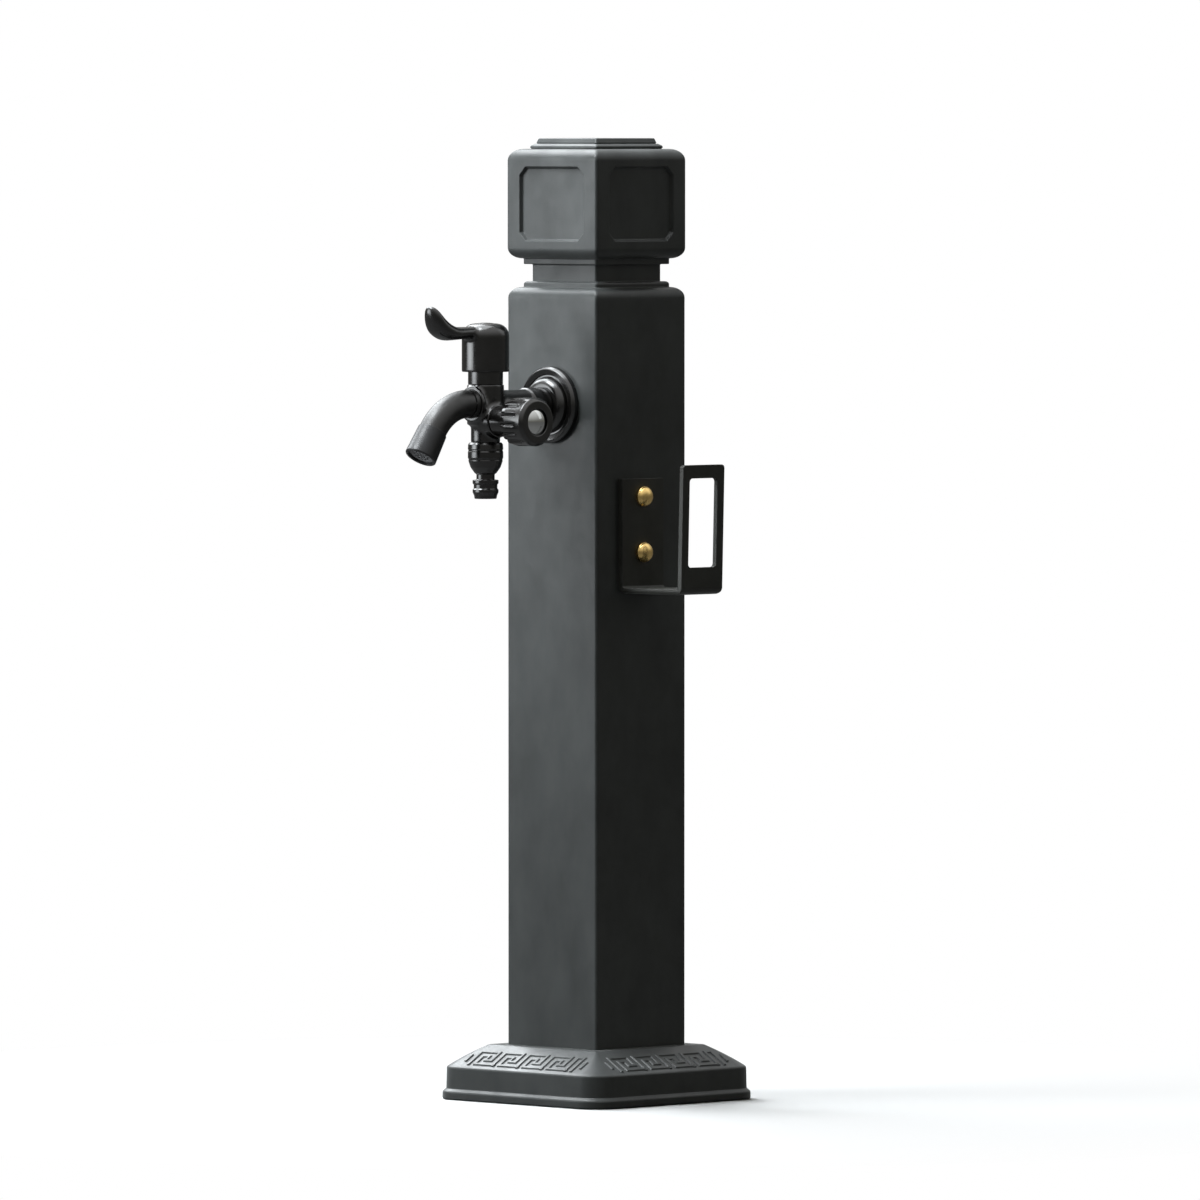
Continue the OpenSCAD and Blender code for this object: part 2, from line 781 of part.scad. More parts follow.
module wall_gasket() {
    color("#222222") at_tap()
        ring_y(gasket_y, lock_nut_y, hex_af, thread_d + 2 * thread_gap);
}

// Tap

module wall_flange() {
    rim_r = flange_d / 2;
    bore_r = thread_d / 2 + slip;
    boss_r = inlet_collar_d / 2 + 1;
    dome_r = rim_r - flange_band_w - flange_groove_w;
    groove_z = flange_rim_t - flange_groove_depth;
    round_r = min(dome_r - boss_r, flange_h - groove_z);
    color("#15171a") at_tap() translate([0, tap_reach, 0]) rotate([90, 0, 0]) rotate_extrude() {
        translate([bore_r, 0]) square([rim_r - bore_r, flange_rim_t - flange_edge_r]);
        translate([bore_r, 0]) square([dome_r + flange_groove_w - bore_r, groove_z]);
        translate([dome_r + flange_groove_w, 0]) square([flange_band_w - flange_edge_r, flange_rim_t]);
        translate([rim_r - flange_edge_r, flange_rim_t - flange_edge_r]) quarter_round(flange_edge_r);
        translate([bore_r, 0]) square([dome_r - bore_r, flange_h - round_r]);
        translate([bore_r, 0]) square([dome_r - round_r - bore_r, flange_h]);
        translate([dome_r - round_r, flange_h - round_r]) quarter_round(round_r);
    }
}
module tap_body() {
    color("#15171a") difference() {
        at_tap() union() {
            along_y(0, flange_face, barrel_d);
            along_y(flange_face - inlet_collar_l, flange_face, inlet_collar_d);
            along_y(flange_face, shank_end, thread_d);
            along_z(-chamber_d / 2, chamber_top, chamber_d);
            along_y(-port_reach, 0, port_d - 2);
            translate([0, 0, spout_rise]) along_y(-port_reach, -port_reach + port_ring_l, port_d);
            along_z(branch_z, 0, branch_d);
            along_z(branch_end, branch_z, thread_d);
            translate([0, 0, -side_drop]) along_x(0, side_reach, side_d);
        }
        at_tap() {
            along_y(inlet_end, shank_end + cut, water_d);
            translate([0, 0, -feed_drop]) along_y(0, inlet_end + feed_lap, seat_port_d);
            along_z(sump_z, seat_z + cut, seat_port_d);
            along_z(seat_z, chamber_top + cut, valve_bore_d);
            along_z(thread_z, chamber_top + cut, bonnet_thread_d);
            translate([0, 0, spout_rise])
                along_y(-port_reach - cut, cut - valve_bore_d / 2, spigot_d + 2 * slip);
            along_z(branch_end - cut, -side_drop - side_bore_d / 2, nipple_bore_d);
            translate([side_seat_x + cut, 0, 0])
                along_z(-side_drop - side_bore_d / 2 - side_feed_d, -side_drop, side_feed_d);
        }
        at_side_valve() {
            translate([0, 0, side_feed_rise]) along_x(0, side_seat_x + cut, side_feed_d);
            along_x(side_seat_x, side_reach + cut, side_bore_d);
            along_x(side_thread_x, side_reach + cut, side_thread_d);
        }
    }
}

// Places its children at the end of the spout's bend, with -Z along the flow
module at_bend_end() {
    end_y = -bend_start - bend_r * sin(bend_angle);
    end_z = spout_rise - bend_r * (1 - cos(bend_angle));
    at_tap() translate([0, end_y, end_z]) rotate([bend_angle - 90, 0, 0]) children();
}
module bend(d) {
    at_tap() translate([0, -bend_start, spout_rise - bend_r]) rotate([0, -90, 0]) rotate(-bend_angle)
        rotate_extrude(angle = bend_angle, $fn = 128) translate([bend_r, 0]) circle(d = d, $fn = 64);
}
module spout() {
    color("#15171a") difference() {
        union() {
            bend(spout_d);
            at_tap() translate([0, 0, spout_rise]) {
                along_y(-bend_start - 2 * cut, -port_reach, spout_root_d);
                along_y(-port_reach - 2 * cut, spigot_end, spigot_d);
            }
            at_bend_end() along_z(-spout_end_l, cut, spout_end_d);
        }
        bend(spout_bore_d);
        at_tap() translate([0, 0, spout_rise]) along_y(-bend_start - cut, 0, spout_bore_d - 1);
        at_bend_end() along_z(-spout_end_l - cut, cut, spout_bore_d - 1);
    }
}
module spout_tip() {
    socket_d = spout_end_d + 2 * thread_gap;
    socket_end = -spout_end_l;
    color("#26282b") at_bend_end() difference() {
        translate([0, 0, -tip_l]) cylinder(d1 = tip_d2, d2 = tip_d1, h = tip_l);
        along_z(socket_end, cut, socket_d);
        along_z(-tip_l - cut, socket_end + cut, mouth_d);
    }
}
module flow_straightener() {
    z0 = straightener_back - tip_l;
    hole_d = mouth_d / 8;
    color("#8a8f94") at_bend_end() difference() {
        along_z(z0, z0 + straightener_t, mouth_d - 2 * thread_gap);
        for (row = [0 : 2], k = [0 : max(6 * row, 1) - 1])
            rotate(k * 360 / max(6 * row, 1)) translate([row * mouth_d / 7, 0, 0])
                along_z(z0 - cut, z0 + straightener_t + cut, hole_d);
    }
}

// Lever valve

module bonnet() {
    color("#15171a") at_tap() difference() {
        union() {
            along_z(thread_z, chamber_top, bonnet_thread_d - 2 * thread_gap);
            along_z(chamber_top, bonnet_top, bonnet_d);
            along_z(bonnet_top, nose_top, spindle_d + 2 * nose_wall);
        }
        along_z(thread_z - cut, cartridge_top, valve_bore_d);
        along_z(thread_z, nose_top + cut, spindle_d + 2 * running_gap);
    }
}
module valve_cartridge() {
    color("goldenrod") at_tap() difference() {
        along_z(disc_z, cartridge_top, valve_bore_d - 2 * thread_gap);
        along_z(disc_z - cut, cup_top, valve_bore_d - 2 * cup_wall);
        along_z(cup_top - cut, cartridge_top + cut, spindle_d + 2 * running_gap);
        translate([-cup_slot_w / 2, -valve_bore_d, disc_z - cut])
            cube([cup_slot_w, valve_bore_d, disc_t + cut]);
    }
}
module valve_seat_seal() {
    color("#222222") at_tap() ring_z(seat_z, disc_z, valve_bore_d - 2 * seal_inset, seat_port_d);
}
// A disc with two opposite ports
module ceramic_disc(d, t) {
    difference() {
        cylinder(d = d, h = t);
        for (side = [-1, 1]) translate([side * d / 4.4, 0, -cut]) cylinder(d = d / 3.6, h = t + 2 * cut);
    }
}
module fixed_disc() {
    color("white") at_tap() translate([0, 0, disc_z]) ceramic_disc(valve_bore_d - 2 * seal_inset, disc_t);
}
module moving_disc() {
    color("ivory") at_tap() translate([0, 0, moving_z]) ceramic_disc(valve_bore_d - 2 * moving_inset, disc_t);
}
module valve_spindle() {
    color("gold") at_tap() difference() {
        union() {
            along_z(drive_z, drive_z + drive_t, valve_bore_d - 2 * moving_inset);
            along_z(drive_z, spindle_top, spindle_d);
        }
        along_z(hub_z, spindle_top + cut, small_screw_d + 2 * thread_gap);
    }
}
function lever_mid(u) = lever_z + lever_rise * pow(max(u - lever_flat, 0) / (lever_len - lever_flat), 2);
function lever_half_w(u) = (lever_w1 + (lever_w2 - lever_w1) * min(u / (lever_len - lever_w2 / 2), 1)) / 2;
lever_steps = [for (k = [0 : 16]) k * lever_len / 16];
module lever_side() {
    polygon(concat(
        [for (u = lever_steps) [-u, lever_mid(u) + lever_t / 2]],
        [for (k = [16 : -1 : 0]) [-lever_steps[k], lever_mid(lever_steps[k]) - lever_t / 2]]
    ));
}
module lever_plan() {
    end_u = lever_len - lever_w2 / 2;
    polygon([
        [lever_half_w(0), 0], [lever_half_w(end_u), -end_u],
        [-lever_half_w(end_u), -end_u], [-lever_half_w(0), 0]
    ]);
    translate([0, -end_u]) circle(d = lever_w2);
}
module lever() {
    intersection() {
        rotate([90, 0, 90]) linear_extrude(2 * lever_w2, center = true) lever_side();
        linear_extrude(cap_top + lever_rise + lever_t) lever_plan();
    }
}
module cap_outline() {
    square([cap_d / 2, cap_h - cap_r]);
    square([cap_d / 2 - cap_r, cap_h]);
    translate([cap_d / 2 - cap_r, cap_h - cap_r]) quarter_round(cap_r);
}
module lever_handle() {
    inside_h = cap_h - 2 * cap_wall - plug_t - small_head_h + cut;
    color("#15171a") at_tap() difference() {
        union() {
            difference() {
                union() {
                    translate([0, 0, cap_z]) rotate_extrude() cap_outline();
                    lever();
                }
                along_z(cap_z - cut, cap_z + inside_h, cap_d - 2 * cap_wall);
            }
            along_z(hub_z, cap_z + inside_h + cut, hub_d);
        }
        along_z(hub_z - cut, spindle_top, spindle_d + 2 * thread_gap);
        along_z(spindle_top - cut, cap_top, small_screw_d + 2 * slip);
        along_z(head_seat_z, cap_top + cut, small_head_d + 2 * slip);
        along_z(cap_top - plug_t, cap_top + cut, plug_d);
    }
}
module machine_screw(length) {
    along_z(0, small_head_h, small_head_d);
    along_z(-length, 0, small_screw_d);
}
module handle_screw() {
    color("gainsboro") at_tap() translate([0, 0, head_seat_z])
        machine_screw(head_seat_z - hub_z - 2 * cut);
}
module handle_plug() {
    color("#26282b") at_tap() along_z(cap_top - plug_t, cap_top + plug_proud, plug_d - 2 * thread_gap);
}

// Side valve

module side_bonnet() {
    color("#15171a") at_side_valve() difference() {
        union() {
            along_x(side_thread_x, side_reach, side_thread_d - 2 * thread_gap);
            along_x(side_reach, side_bonnet_end, side_bonnet_d);
            along_x(side_bonnet_end, side_nose_end, side_spindle_d + 2 * nose_wall - 1);
        }
        along_x(side_thread_x - cut, side_cartridge_end, side_bore_d);
        along_x(side_thread_x, side_nose_end + cut, side_spindle_d + 2 * running_gap);
    }
}
module side_cartridge() {
    color("goldenrod") at_side_valve() difference() {
        along_x(side_disc_x, side_cartridge_end, side_bore_d - 2 * thread_gap);
        along_x(side_disc_x - cut, side_cup_end, side_bore_d - 2 * cup_wall);
        along_x(side_cup_end - cut, side_cartridge_end + cut, side_spindle_d + 2 * running_gap);
        translate([side_disc_x - cut, -side_slot_w / 2, -side_bore_d])
            cube([side_disc_t + cut, side_slot_w, side_bore_d]);
    }
}
module side_seat_seal() {
    color("#222222") at_side_valve()
        ring_x(side_seat_x, side_disc_x, side_bore_d - 2 * seal_inset, seat_port_d);
}
module side_fixed_disc() {
    color("white") at_side_valve() translate([side_disc_x, 0, 0]) rotate([0, 90, 0])
        ceramic_disc(side_bore_d - 2 * seal_inset, side_disc_t);
}
module side_moving_disc() {
    color("ivory") at_side_valve() translate([side_moving_x, 0, 0]) rotate([0, 90, 0])
        ceramic_disc(side_bore_d - 2 * moving_inset, side_disc_t);
}
module side_spindle() {
    color("gold") at_side_valve() difference() {
        union() {
            along_x(side_drive_x, side_drive_x + side_drive_t, side_bore_d - 2 * moving_inset);
            along_x(side_drive_x, side_spindle_end, side_spindle_d);
        }
        along_x(side_nose_end, side_spindle_end + cut, small_screw_d + 2 * thread_gap);
    }
}
module side_knob() {
    color("#15171a") at_side_valve() difference() {
        union() {
            difference() {
                union() {
                    along_x(knob_x, knob_end - knob_chamfer, knob_d);
                    translate([knob_end - knob_chamfer, 0, 0]) rotate([0, 90, 0])
                        cylinder(d1 = knob_d, d2 = knob_d - 2 * knob_chamfer, h = knob_chamfer);
                }
                along_x(knob_x - cut, knob_web_x, knob_d - 2 * knob_wall);
            }
            along_x(knob_hub_x, knob_web_x + cut, knob_hub_d);
        }
        for (k = [0 : knob_flutes - 1]) rotate([k * 360 / knob_flutes, 0, 0])
            translate([0, 0, knob_d / 2 + flute_d / 2 - flute_depth])
                along_x(knob_x - cut, knob_end - knob_ring_l, flute_d);
        along_x(knob_hub_x - cut, side_spindle_end, side_spindle_d + 2 * thread_gap);
        along_x(side_spindle_end - cut, knob_end, small_screw_d + 2 * slip);
        along_x(knob_head_x, knob_end + cut, small_head_d + 2 * slip);
        along_x(knob_end - button_seat, knob_end + cut, button_d + 2 * thread_gap);
    }
}
module knob_screw() {
    color("gainsboro") at_side_valve() translate([knob_head_x, 0, 0]) rotate([0, 90, 0])
        machine_screw(knob_head_x - side_nose_end - cut);
}
module knob_button() {
    color("whitesmoke") at_side_valve() translate([knob_end - button_seat, 0, 0]) rotate([0, 90, 0])
        rotate_extrude() {
            square([button_d / 2, button_seat]);
            translate([0, button_seat]) dome_outline(button_d, button_dome);
        }
}

// Lower outlet

module hose_nipple() {
    color("#15171a") at_tap() difference() {
        union() {
            along_z(collar_bottom + nipple_chamfer, branch_z, collar_d);
            translate([0, 0, collar_bottom])
                cylinder(d1 = collar_d - nipple_chamfer, d2 = collar_d, h = nipple_chamfer);
            translate([0, 0, taper_bottom])
                cylinder(d1 = groove_d + nipple_chamfer, d2 = collar_d - nipple_chamfer, h = taper_l);
            along_z(groove_bottom, taper_bottom, groove_d);
            along_z(ring_bottom, groove_bottom, ring_d);
            translate([0, 0, nipple_end]) cylinder(d1 = end_d, d2 = ring_d - nipple_chamfer, h = end_l);
        }
        along_z(washer_z, branch_z + cut, thread_d + 2 * thread_gap);
        along_z(nipple_end - cut, washer_z + cut, nipple_bore_d);
    }
}
module nipple_washer() {
    color("#222222") at_tap() ring_z(washer_z, branch_end, thread_d - 2 * slip, nipple_bore_d);
}

// Hose hook

module hook_bend(x, turn) {
    outer_r = hook_bend_r + hook_t;
    translate([x, outer_r]) rotate(turn) intersection() {
        difference() {
            circle(r = outer_r);
            circle(r = hook_bend_r);
        }
        square(outer_r);
    }
}
// The hook's bent strip, seen along the post's face: x outwards, y upwards
module hook_outline() {
    outer_r = hook_bend_r + hook_t;
    length = 2 * hook_t + hook_depth;
    translate([0, outer_r]) square([hook_t, hook_back_h - outer_r]);
    translate([outer_r, 0]) square([length - 2 * outer_r, hook_t]);
    polygon([
        [length - hook_t, outer_r], [length, outer_r],
        [length + hook_lean, hook_front_h], [length - hook_t + hook_lean, hook_front_h]
    ]);
    hook_bend(outer_r, 180);
    hook_bend(length - outer_r, 270);
}
module hose_hook() {
    color("#17191b") difference() {
        intersection() {
            translate([hook_x, hook_y, hook_z]) rotate([90, 0, 0])
                linear_extrude(hook_w, center = true) hook_outline();
            translate([hook_x - cut, hook_y, 0]) rotate([90, 0, 90]) linear_extrude(2 * hook_depth)
                translate([0, hook_z + hook_front_h / 2]) round_rect(hook_w, hook_front_h, hook_corner_r);
        }
        translate([hook_front_x - cut, hook_y, hook_z + slot_z + slot_h / 2]) rotate([90, 0, 90])
            linear_extrude(hook_t + hook_lean + 2 * cut) round_rect(slot_w, slot_h, slot_r);
        at_bolts() along_x(hook_x - cut, hook_x + hook_t + cut, bolt_hole_d);
    }
}
module hook_bolts() {
    head_x = hook_x - post_wall - washer_t;
    color("gainsboro") at_bolts() {
        translate([head_x - bolt_head_h, 0, 0]) rotate([0, 90, 0]) hexagon_along_z(bolt_af, bolt_head_h);
        along_x(head_x, bolt_tip_x, bolt_d);
    }
}
module hook_washers() {
    inner_x = hook_x - post_wall;
    color("gainsboro") at_bolts() ring_x(inner_x - washer_t, inner_x, washer_d, bolt_hole_d);
}
module hook_cap_nuts() {
    nut_x = hook_x + hook_t;
    color("gold") at_bolts() difference() {
        translate([nut_x, 0, 0]) rotate([0, 90, 0]) rotate_extrude() {
            square([cap_nut_d / 2, cap_nut_rim_h]);
            translate([0, cap_nut_rim_h]) dome_outline(cap_nut_d - 2 * cap_nut_step, cap_nut_dome_h);
        }
        along_x(nut_x - cut, bolt_tip_x + head_clear, bolt_d + 2 * thread_gap);
    }
}

base_shoe();
ground_plate();
post_spigot();
post_screws();
post_tube();
column_head();
head_screws();
head_lid();
inlet_adapter();
riser_pipe();
riser_elbow();
lock_nut();
wall_gasket();
wall_flange();
tap_body();
spout();
spout_tip();
flow_straightener();
bonnet();
valve_cartridge();
valve_seat_seal();
fixed_disc();
moving_disc();
valve_spindle();
lever_handle();
handle_screw();
handle_plug();
side_bonnet();
side_cartridge();
side_seat_seal();
side_fixed_disc();
side_moving_disc();
side_spindle();
side_knob();
knob_screw();
knob_button();
hose_nipple();
nipple_washer();
hose_hook();
hook_bolts();
hook_washers();
hook_cap_nuts();
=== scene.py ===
"""Looks of a garden standpipe: a square post on a cast shoe, with a two-outlet tap and a hose hook.

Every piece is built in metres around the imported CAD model: +Z is up, the tap points to -Y, and its side knob
and the hose hook point to +X.
"""

import json
import math

import bmesh
import bpy
from bpy.props import FloatProperty, FloatVectorProperty, IntProperty, PointerProperty
from mathutils import Matrix, Vector


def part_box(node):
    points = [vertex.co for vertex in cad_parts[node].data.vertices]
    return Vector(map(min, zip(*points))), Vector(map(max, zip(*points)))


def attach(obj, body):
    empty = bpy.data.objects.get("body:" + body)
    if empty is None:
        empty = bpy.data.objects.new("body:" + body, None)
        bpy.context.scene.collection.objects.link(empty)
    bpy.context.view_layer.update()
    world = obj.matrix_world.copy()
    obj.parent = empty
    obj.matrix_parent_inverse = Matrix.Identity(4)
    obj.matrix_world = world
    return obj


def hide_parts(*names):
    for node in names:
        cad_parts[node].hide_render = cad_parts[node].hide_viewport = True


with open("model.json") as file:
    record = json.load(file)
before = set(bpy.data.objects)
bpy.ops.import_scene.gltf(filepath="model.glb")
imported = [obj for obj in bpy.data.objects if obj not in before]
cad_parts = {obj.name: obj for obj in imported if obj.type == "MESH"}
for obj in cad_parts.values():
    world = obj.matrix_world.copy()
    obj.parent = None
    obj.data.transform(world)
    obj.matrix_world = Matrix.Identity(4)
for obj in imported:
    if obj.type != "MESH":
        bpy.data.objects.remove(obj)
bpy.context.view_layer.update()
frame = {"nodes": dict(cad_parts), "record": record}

bl_info = {
    "name": "Garden standpipe",
    "version": (1, 0, 0),
    "blender": (4, 5, 0),
    "location": "View3D > Sidebar > Standpipe",
    "description": "Builds the visible pieces, finishes and stage of a garden standpipe",
    "category": "Object",
}

MM = 0.001
# Points nearer than this are one point, on built meshes and on copies of CAD nodes
MERGE = 0.00001
CAD_MERGE = 0.000002


# Places taken from the frame

POST_LOW, POST_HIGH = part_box("post_tube")
SHOE_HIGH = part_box("base_shoe")[1]
HEAD_LOW, HEAD_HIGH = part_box("column_head")
LID_LOW, LID_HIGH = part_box("head_lid")
CAP_LOW, CAP_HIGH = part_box("handle_plug")
FLANGE_LOW, FLANGE_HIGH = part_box("wall_flange")
KNOB_LOW, KNOB_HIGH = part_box("side_knob")
BUTTON_LOW, BUTTON_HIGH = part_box("knob_button")
NIPPLE_LOW, NIPPLE_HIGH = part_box("hose_nipple")
HANDLE_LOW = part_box("lever_handle")[0]

TAP_Y = (CAP_LOW.y + CAP_HIGH.y) / 2
TAP_Z = (FLANGE_LOW.z + FLANGE_HIGH.z) / 2
TAP = Vector((0, TAP_Y, TAP_Z))
SIDE_Z = (KNOB_LOW.z + KNOB_HIGH.z) / 2


def length(label, about, mm):
    """A size in metres, written in millimetres."""
    return FloatProperty(name=label, description=about, default=mm * MM, unit="LENGTH", precision=5)


def colour(label, about, rgb):
    """A linear colour."""
    return FloatVectorProperty(name=label, description=about, default=rgb, min=0, max=1, size=3,
                               subtype="COLOR")


class PostSizes(bpy.types.PropertyGroup):
    """Sizes of the post tube and the base shoe."""

    wall: length("Wall", "Wall of the post tube", 3)
    edge_r: length("Edge", "Rounding of the post's upright edges", 2.5)
    side_half: length("Shoe side", "Half the width of the shoe at its sides", 90)
    side_h: length("Shoe side height", "Height of the shoe's upright sides", 25.5)
    side_corner: length("Shoe corner", "Rounding of the shoe's corners at its sides", 21)
    ledge_half: length("Ledge", "Half the width of the shoe's flat ledge", 60.5)
    hip_corner: length("Hip corner", "Rounding of the hips where two slopes of the shoe meet", 2)
    shoe_wall: length("Shoe wall", "Wall of the shoe's casting", 4)
    bead_h: length("Bead height", "Height of the bead round the foot", 8)
    key_pitch: length("Key pitch", "Distance between the units of the key band", 27)
    key_h: length("Key height", "Height of the key band along the slope", 17)
    key_drop: length("Key drop", "Middle of the key band below the middle of the slope", 2.6)
    key_bar: length("Key bar", "Width of the raised bars of the key band", 3.2)
    key_rise: length("Key rise", "How far the bars stand out of the slope", 0.95)
    key_units: IntProperty(name="Key units", description="Units of the key band on each side",
                           default=4, min=1)


class HeadSizes(bpy.types.PropertyGroup):
    """Sizes of the column head and its lid."""

    corner: length("Corner", "Rounding of the head's upright corners", 2.4)
    shoulder_r: length("Shoulder", "Rounding of the shoulder on the post", 9)
    shoulder_h: length("Shoulder height", "Height of the shoulder", 11.5)
    collar_half: length("Collar", "Half the width of the two collars", 41.3)
    collar_h: length("Collar height", "Height of each collar", 4.5)
    neck_half: length("Neck", "Half the width of the neck", 36.3)
    neck_h: length("Neck height", "Height of the neck", 13.5)
    block_r: length("Block edge", "Rounding of the block's top and bottom edges", 9)
    panel_w: length("Panel width", "Width of a recessed panel", 73)
    panel_h: length("Panel height", "Height of a recessed panel", 60)
    panel_cut: length("Panel corner", "Cut-off corner of a panel", 7)
    panel_depth: length("Panel depth", "Depth of a panel", 2.8)
    panel_bevel: length("Panel bevel", "Width of the panel's sloped edge", 2.1)


class TapSizes(bpy.types.PropertyGroup):
    """Sizes of the tap."""

    spout_r: length("Spout radius", "Radius of the spout", 11)
    spout_rise: length("Spout rise", "Spout's axis above the tap's axis", 2.2)
    bend_start: length("Bend start", "Start of the spout's bend from the valve axis", 19.6)
    bend_r: length("Bend radius", "Radius of the spout's bend", 46)
    bend_angle: FloatProperty(name="Bend", description="Angle of the spout's bend",
                              default=math.radians(57), subtype="ANGLE")
    port: length("Port", "Front of the spout's port from the valve axis", 16)
    tip_l: length("Tip", "Length of the spout's tip", 24.4)
    cap_r: length("Cap radius", "Radius of the handle's cap", 18.7)
    cap_edge: length("Cap edge", "Rounding of the cap's top", 10)
    lever_len: length("Lever", "Length of the lever from the valve axis", 63)
    flutes: IntProperty(name="Flutes", description="Grip flutes round the knob", default=15, min=3)


class Finishes(bpy.types.PropertyGroup):
    """Colours of the finishes."""

    coat: colour("Powder coat", "Anthracite powder coat of the post", (0.070, 0.076, 0.076))
    gloss: colour("Gloss black", "Glossy black of the tap", (0.0044, 0.0040, 0.0036))
    satin: colour("Satin black", "Satin black of the spout's tip", (0.022, 0.023, 0.025))
    hook: colour("Hook coat", "Darker powder coat of the hose hook", (0.076, 0.078, 0.072))
    brass: colour("Brass", "Polished brass of the cap nuts", (0.90, 0.63, 0.24))
    chrome: colour("Chrome", "Bright metal of the knob's button", (0.62, 0.63, 0.62))
    zinc: colour("Zinc", "Zinc-plated steel of screws and plates", (0.55, 0.56, 0.57))


# Outlines

def in_mm(points):
    """Points and roundings that are written in millimetres, in metres."""
    return [tuple(value * MM for value in point) for point in points]


def rounded(points, steps=5, closed=False):
    """A line through points (x, y, radius) with its corners rounded to those radii, or less on short runs."""
    count = len(points)
    spots = [Vector(p[:2]) for p in points]
    most = 0.999
    backs = []
    for i, (_, _, r) in enumerate(points):
        open_end = not closed and i in (0, count - 1)
        bend = (spots[i - 1] - spots[i]).angle(spots[(i + 1) % count] - spots[i]) / 2
        backs.append(0 if r <= 0 or open_end else r / math.tan(bend))
    for i in range(count):
        n = (i + 1) % count
        run, need = (spots[n] - spots[i]).length, backs[i] + backs[n]
        if need > most * run:
            backs[i] *= most * run / need
            backs[n] *= most * run / need
    out = []
    for i, back in enumerate(backs):
        if back <= 0:
            out.append(spots[i])
            continue
        before = (spots[i - 1] - spots[i]).normalized()
        after = (spots[(i + 1) % count] - spots[i]).normalized()
        half = before.angle(after) / 2
        centre = spots[i] + (before + after).normalized() * (back / math.cos(half))
        start = spots[i] + before * back - centre
        turn = start.angle_signed(spots[i] + after * back - centre)
        for k in range(steps + 1):
            out.append(centre + Matrix.Rotation(-turn * k / steps, 2) @ start)
    return [(p.x, p.y) for p in out]


def square_loop(half, z, corner, steps=6):
    """A square loop of points with round corners, at one height."""
    corners = [(half, half, corner), (-half, half, corner), (-half, -half, corner), (half, -half, corner)]
    return [Vector((x, y, z)) for x, y in rounded(corners, steps, closed=True)]


def circle_loop(centre, across, up, radius, count):
    """A round loop of points about a centre, from two directions square to each other."""
    turns = (math.tau * k / count for k in range(count))
    return [centre + radius * (math.cos(a) * across + math.sin(a) * up) for a in turns]


# Meshes

def add_loops(bm, loops, wrap=False, ends=False):
    """Joins each loop of points to the next with faces; wrap joins the last loop to the first one too."""
    rows = [[bm.verts.new(p) for p in loop] for loop in loops]
    pairs = list(zip(rows, rows[1:]))
    if wrap:
        pairs.append((rows[-1], rows[0]))
    for low, high in pairs:
        count = len(low)
        for k in range(count):
            n = (k + 1) % count
            bm.faces.new((low[k], low[n], high[n], high[k]))
    if ends:
        bm.faces.new(reversed(rows[0]))
        bm.faces.new(rows[-1])
    return rows


def turned_loops(profile, place, count=72):
    """The loops of a shape turned about the local Z axis of a place, from points (radius, height)."""
    across, up = Vector((1, 0, 0)), Vector((0, 1, 0))
    return [[place @ p for p in circle_loop(Vector((0, 0, h)), across, up, r, count)] for r, h in profile]


def made(name, bm, merge=MERGE):
    """A new object from a bmesh, with doubles merged and its faces pointing outwards."""
    bmesh.ops.remove_doubles(bm, verts=bm.verts, dist=merge)
    bmesh.ops.dissolve_degenerate(bm, edges=bm.edges, dist=merge)
    bmesh.ops.recalc_face_normals(bm, faces=bm.faces)
    mesh = bpy.data.meshes.new(name)
    bm.to_mesh(mesh)
    bm.free()
    piece = bpy.data.objects.new(name, mesh)
    bpy.context.scene.collection.objects.link(piece)
    return piece


def bake_modifiers(piece):
    """Turns the piece's modifiers into a plain mesh."""
    bpy.context.view_layer.update()
    evaluated = piece.evaluated_get(bpy.context.evaluated_depsgraph_get())
    mesh = bpy.data.meshes.new_from_object(evaluated)
    piece.modifiers.clear()
    piece.data = mesh
    mesh.name = piece.name


def smooth(piece, degrees=35):
    """Smooth shading with crisp edges above an angle and flat faces kept flat."""
    piece.data.shade_smooth()
    piece.data.set_sharp_from_angle(angle=math.radians(degrees))
    weighted = piece.modifiers.new("weighted", "WEIGHTED_NORMAL")
    weighted.keep_sharp = True
    bake_modifiers(piece)


def lofted(name, loops, degrees=35, wrap=False, ends=False):
    """A new smooth object from loops of points."""
    bm = bmesh.new()
    add_loops(bm, loops, wrap, ends)
    piece = made(name, bm)
    smooth(piece, degrees)
    return piece


def blend_cast(piece, voxel, fillet, rounds):
    """Melts joined shapes into one casting with filled inner corners.

    It swells them, draws them in again and smooths them.
    """
    for strength in (0, fillet, -fillet):
        if strength:
            move = piece.modifiers.new("move", "DISPLACE")
            move.strength = strength
            move.mid_level = 0
        if strength >= 0:
            cast = piece.modifiers.new("cast", "REMESH")
            cast.mode = "VOXEL"
            cast.voxel_size = voxel
    soft = piece.modifiers.new("soft", "SMOOTH")
    soft.iterations = rounds
    soft.factor = 0.5
    bake_modifiers(piece)
    piece.data.shade_smooth()


def copy_of(part, bevel):
    """A copy of a CAD node with its triangles merged into faces and its sharp edges broken."""
    bm = bmesh.new()
    bm.from_mesh(frame["nodes"][part].data)
    bmesh.ops.remove_doubles(bm, verts=bm.verts, dist=CAD_MERGE)
    bmesh.ops.dissolve_limit(bm, angle_limit=math.radians(1), verts=bm.verts, edges=bm.edges)
    piece = made(part + "_look", bm, merge=CAD_MERGE)
    edge = piece.modifiers.new("edge", "BEVEL")
    edge.width = bevel
    edge.segments = 3
    edge.limit_method = "ANGLE"
    edge.angle_limit = math.radians(40)
    edge.use_clamp_overlap = True
    bake_modifiers(piece)
    smooth(piece)
    return piece


# The materials by finish, filled by the first operator
FINISH = {}


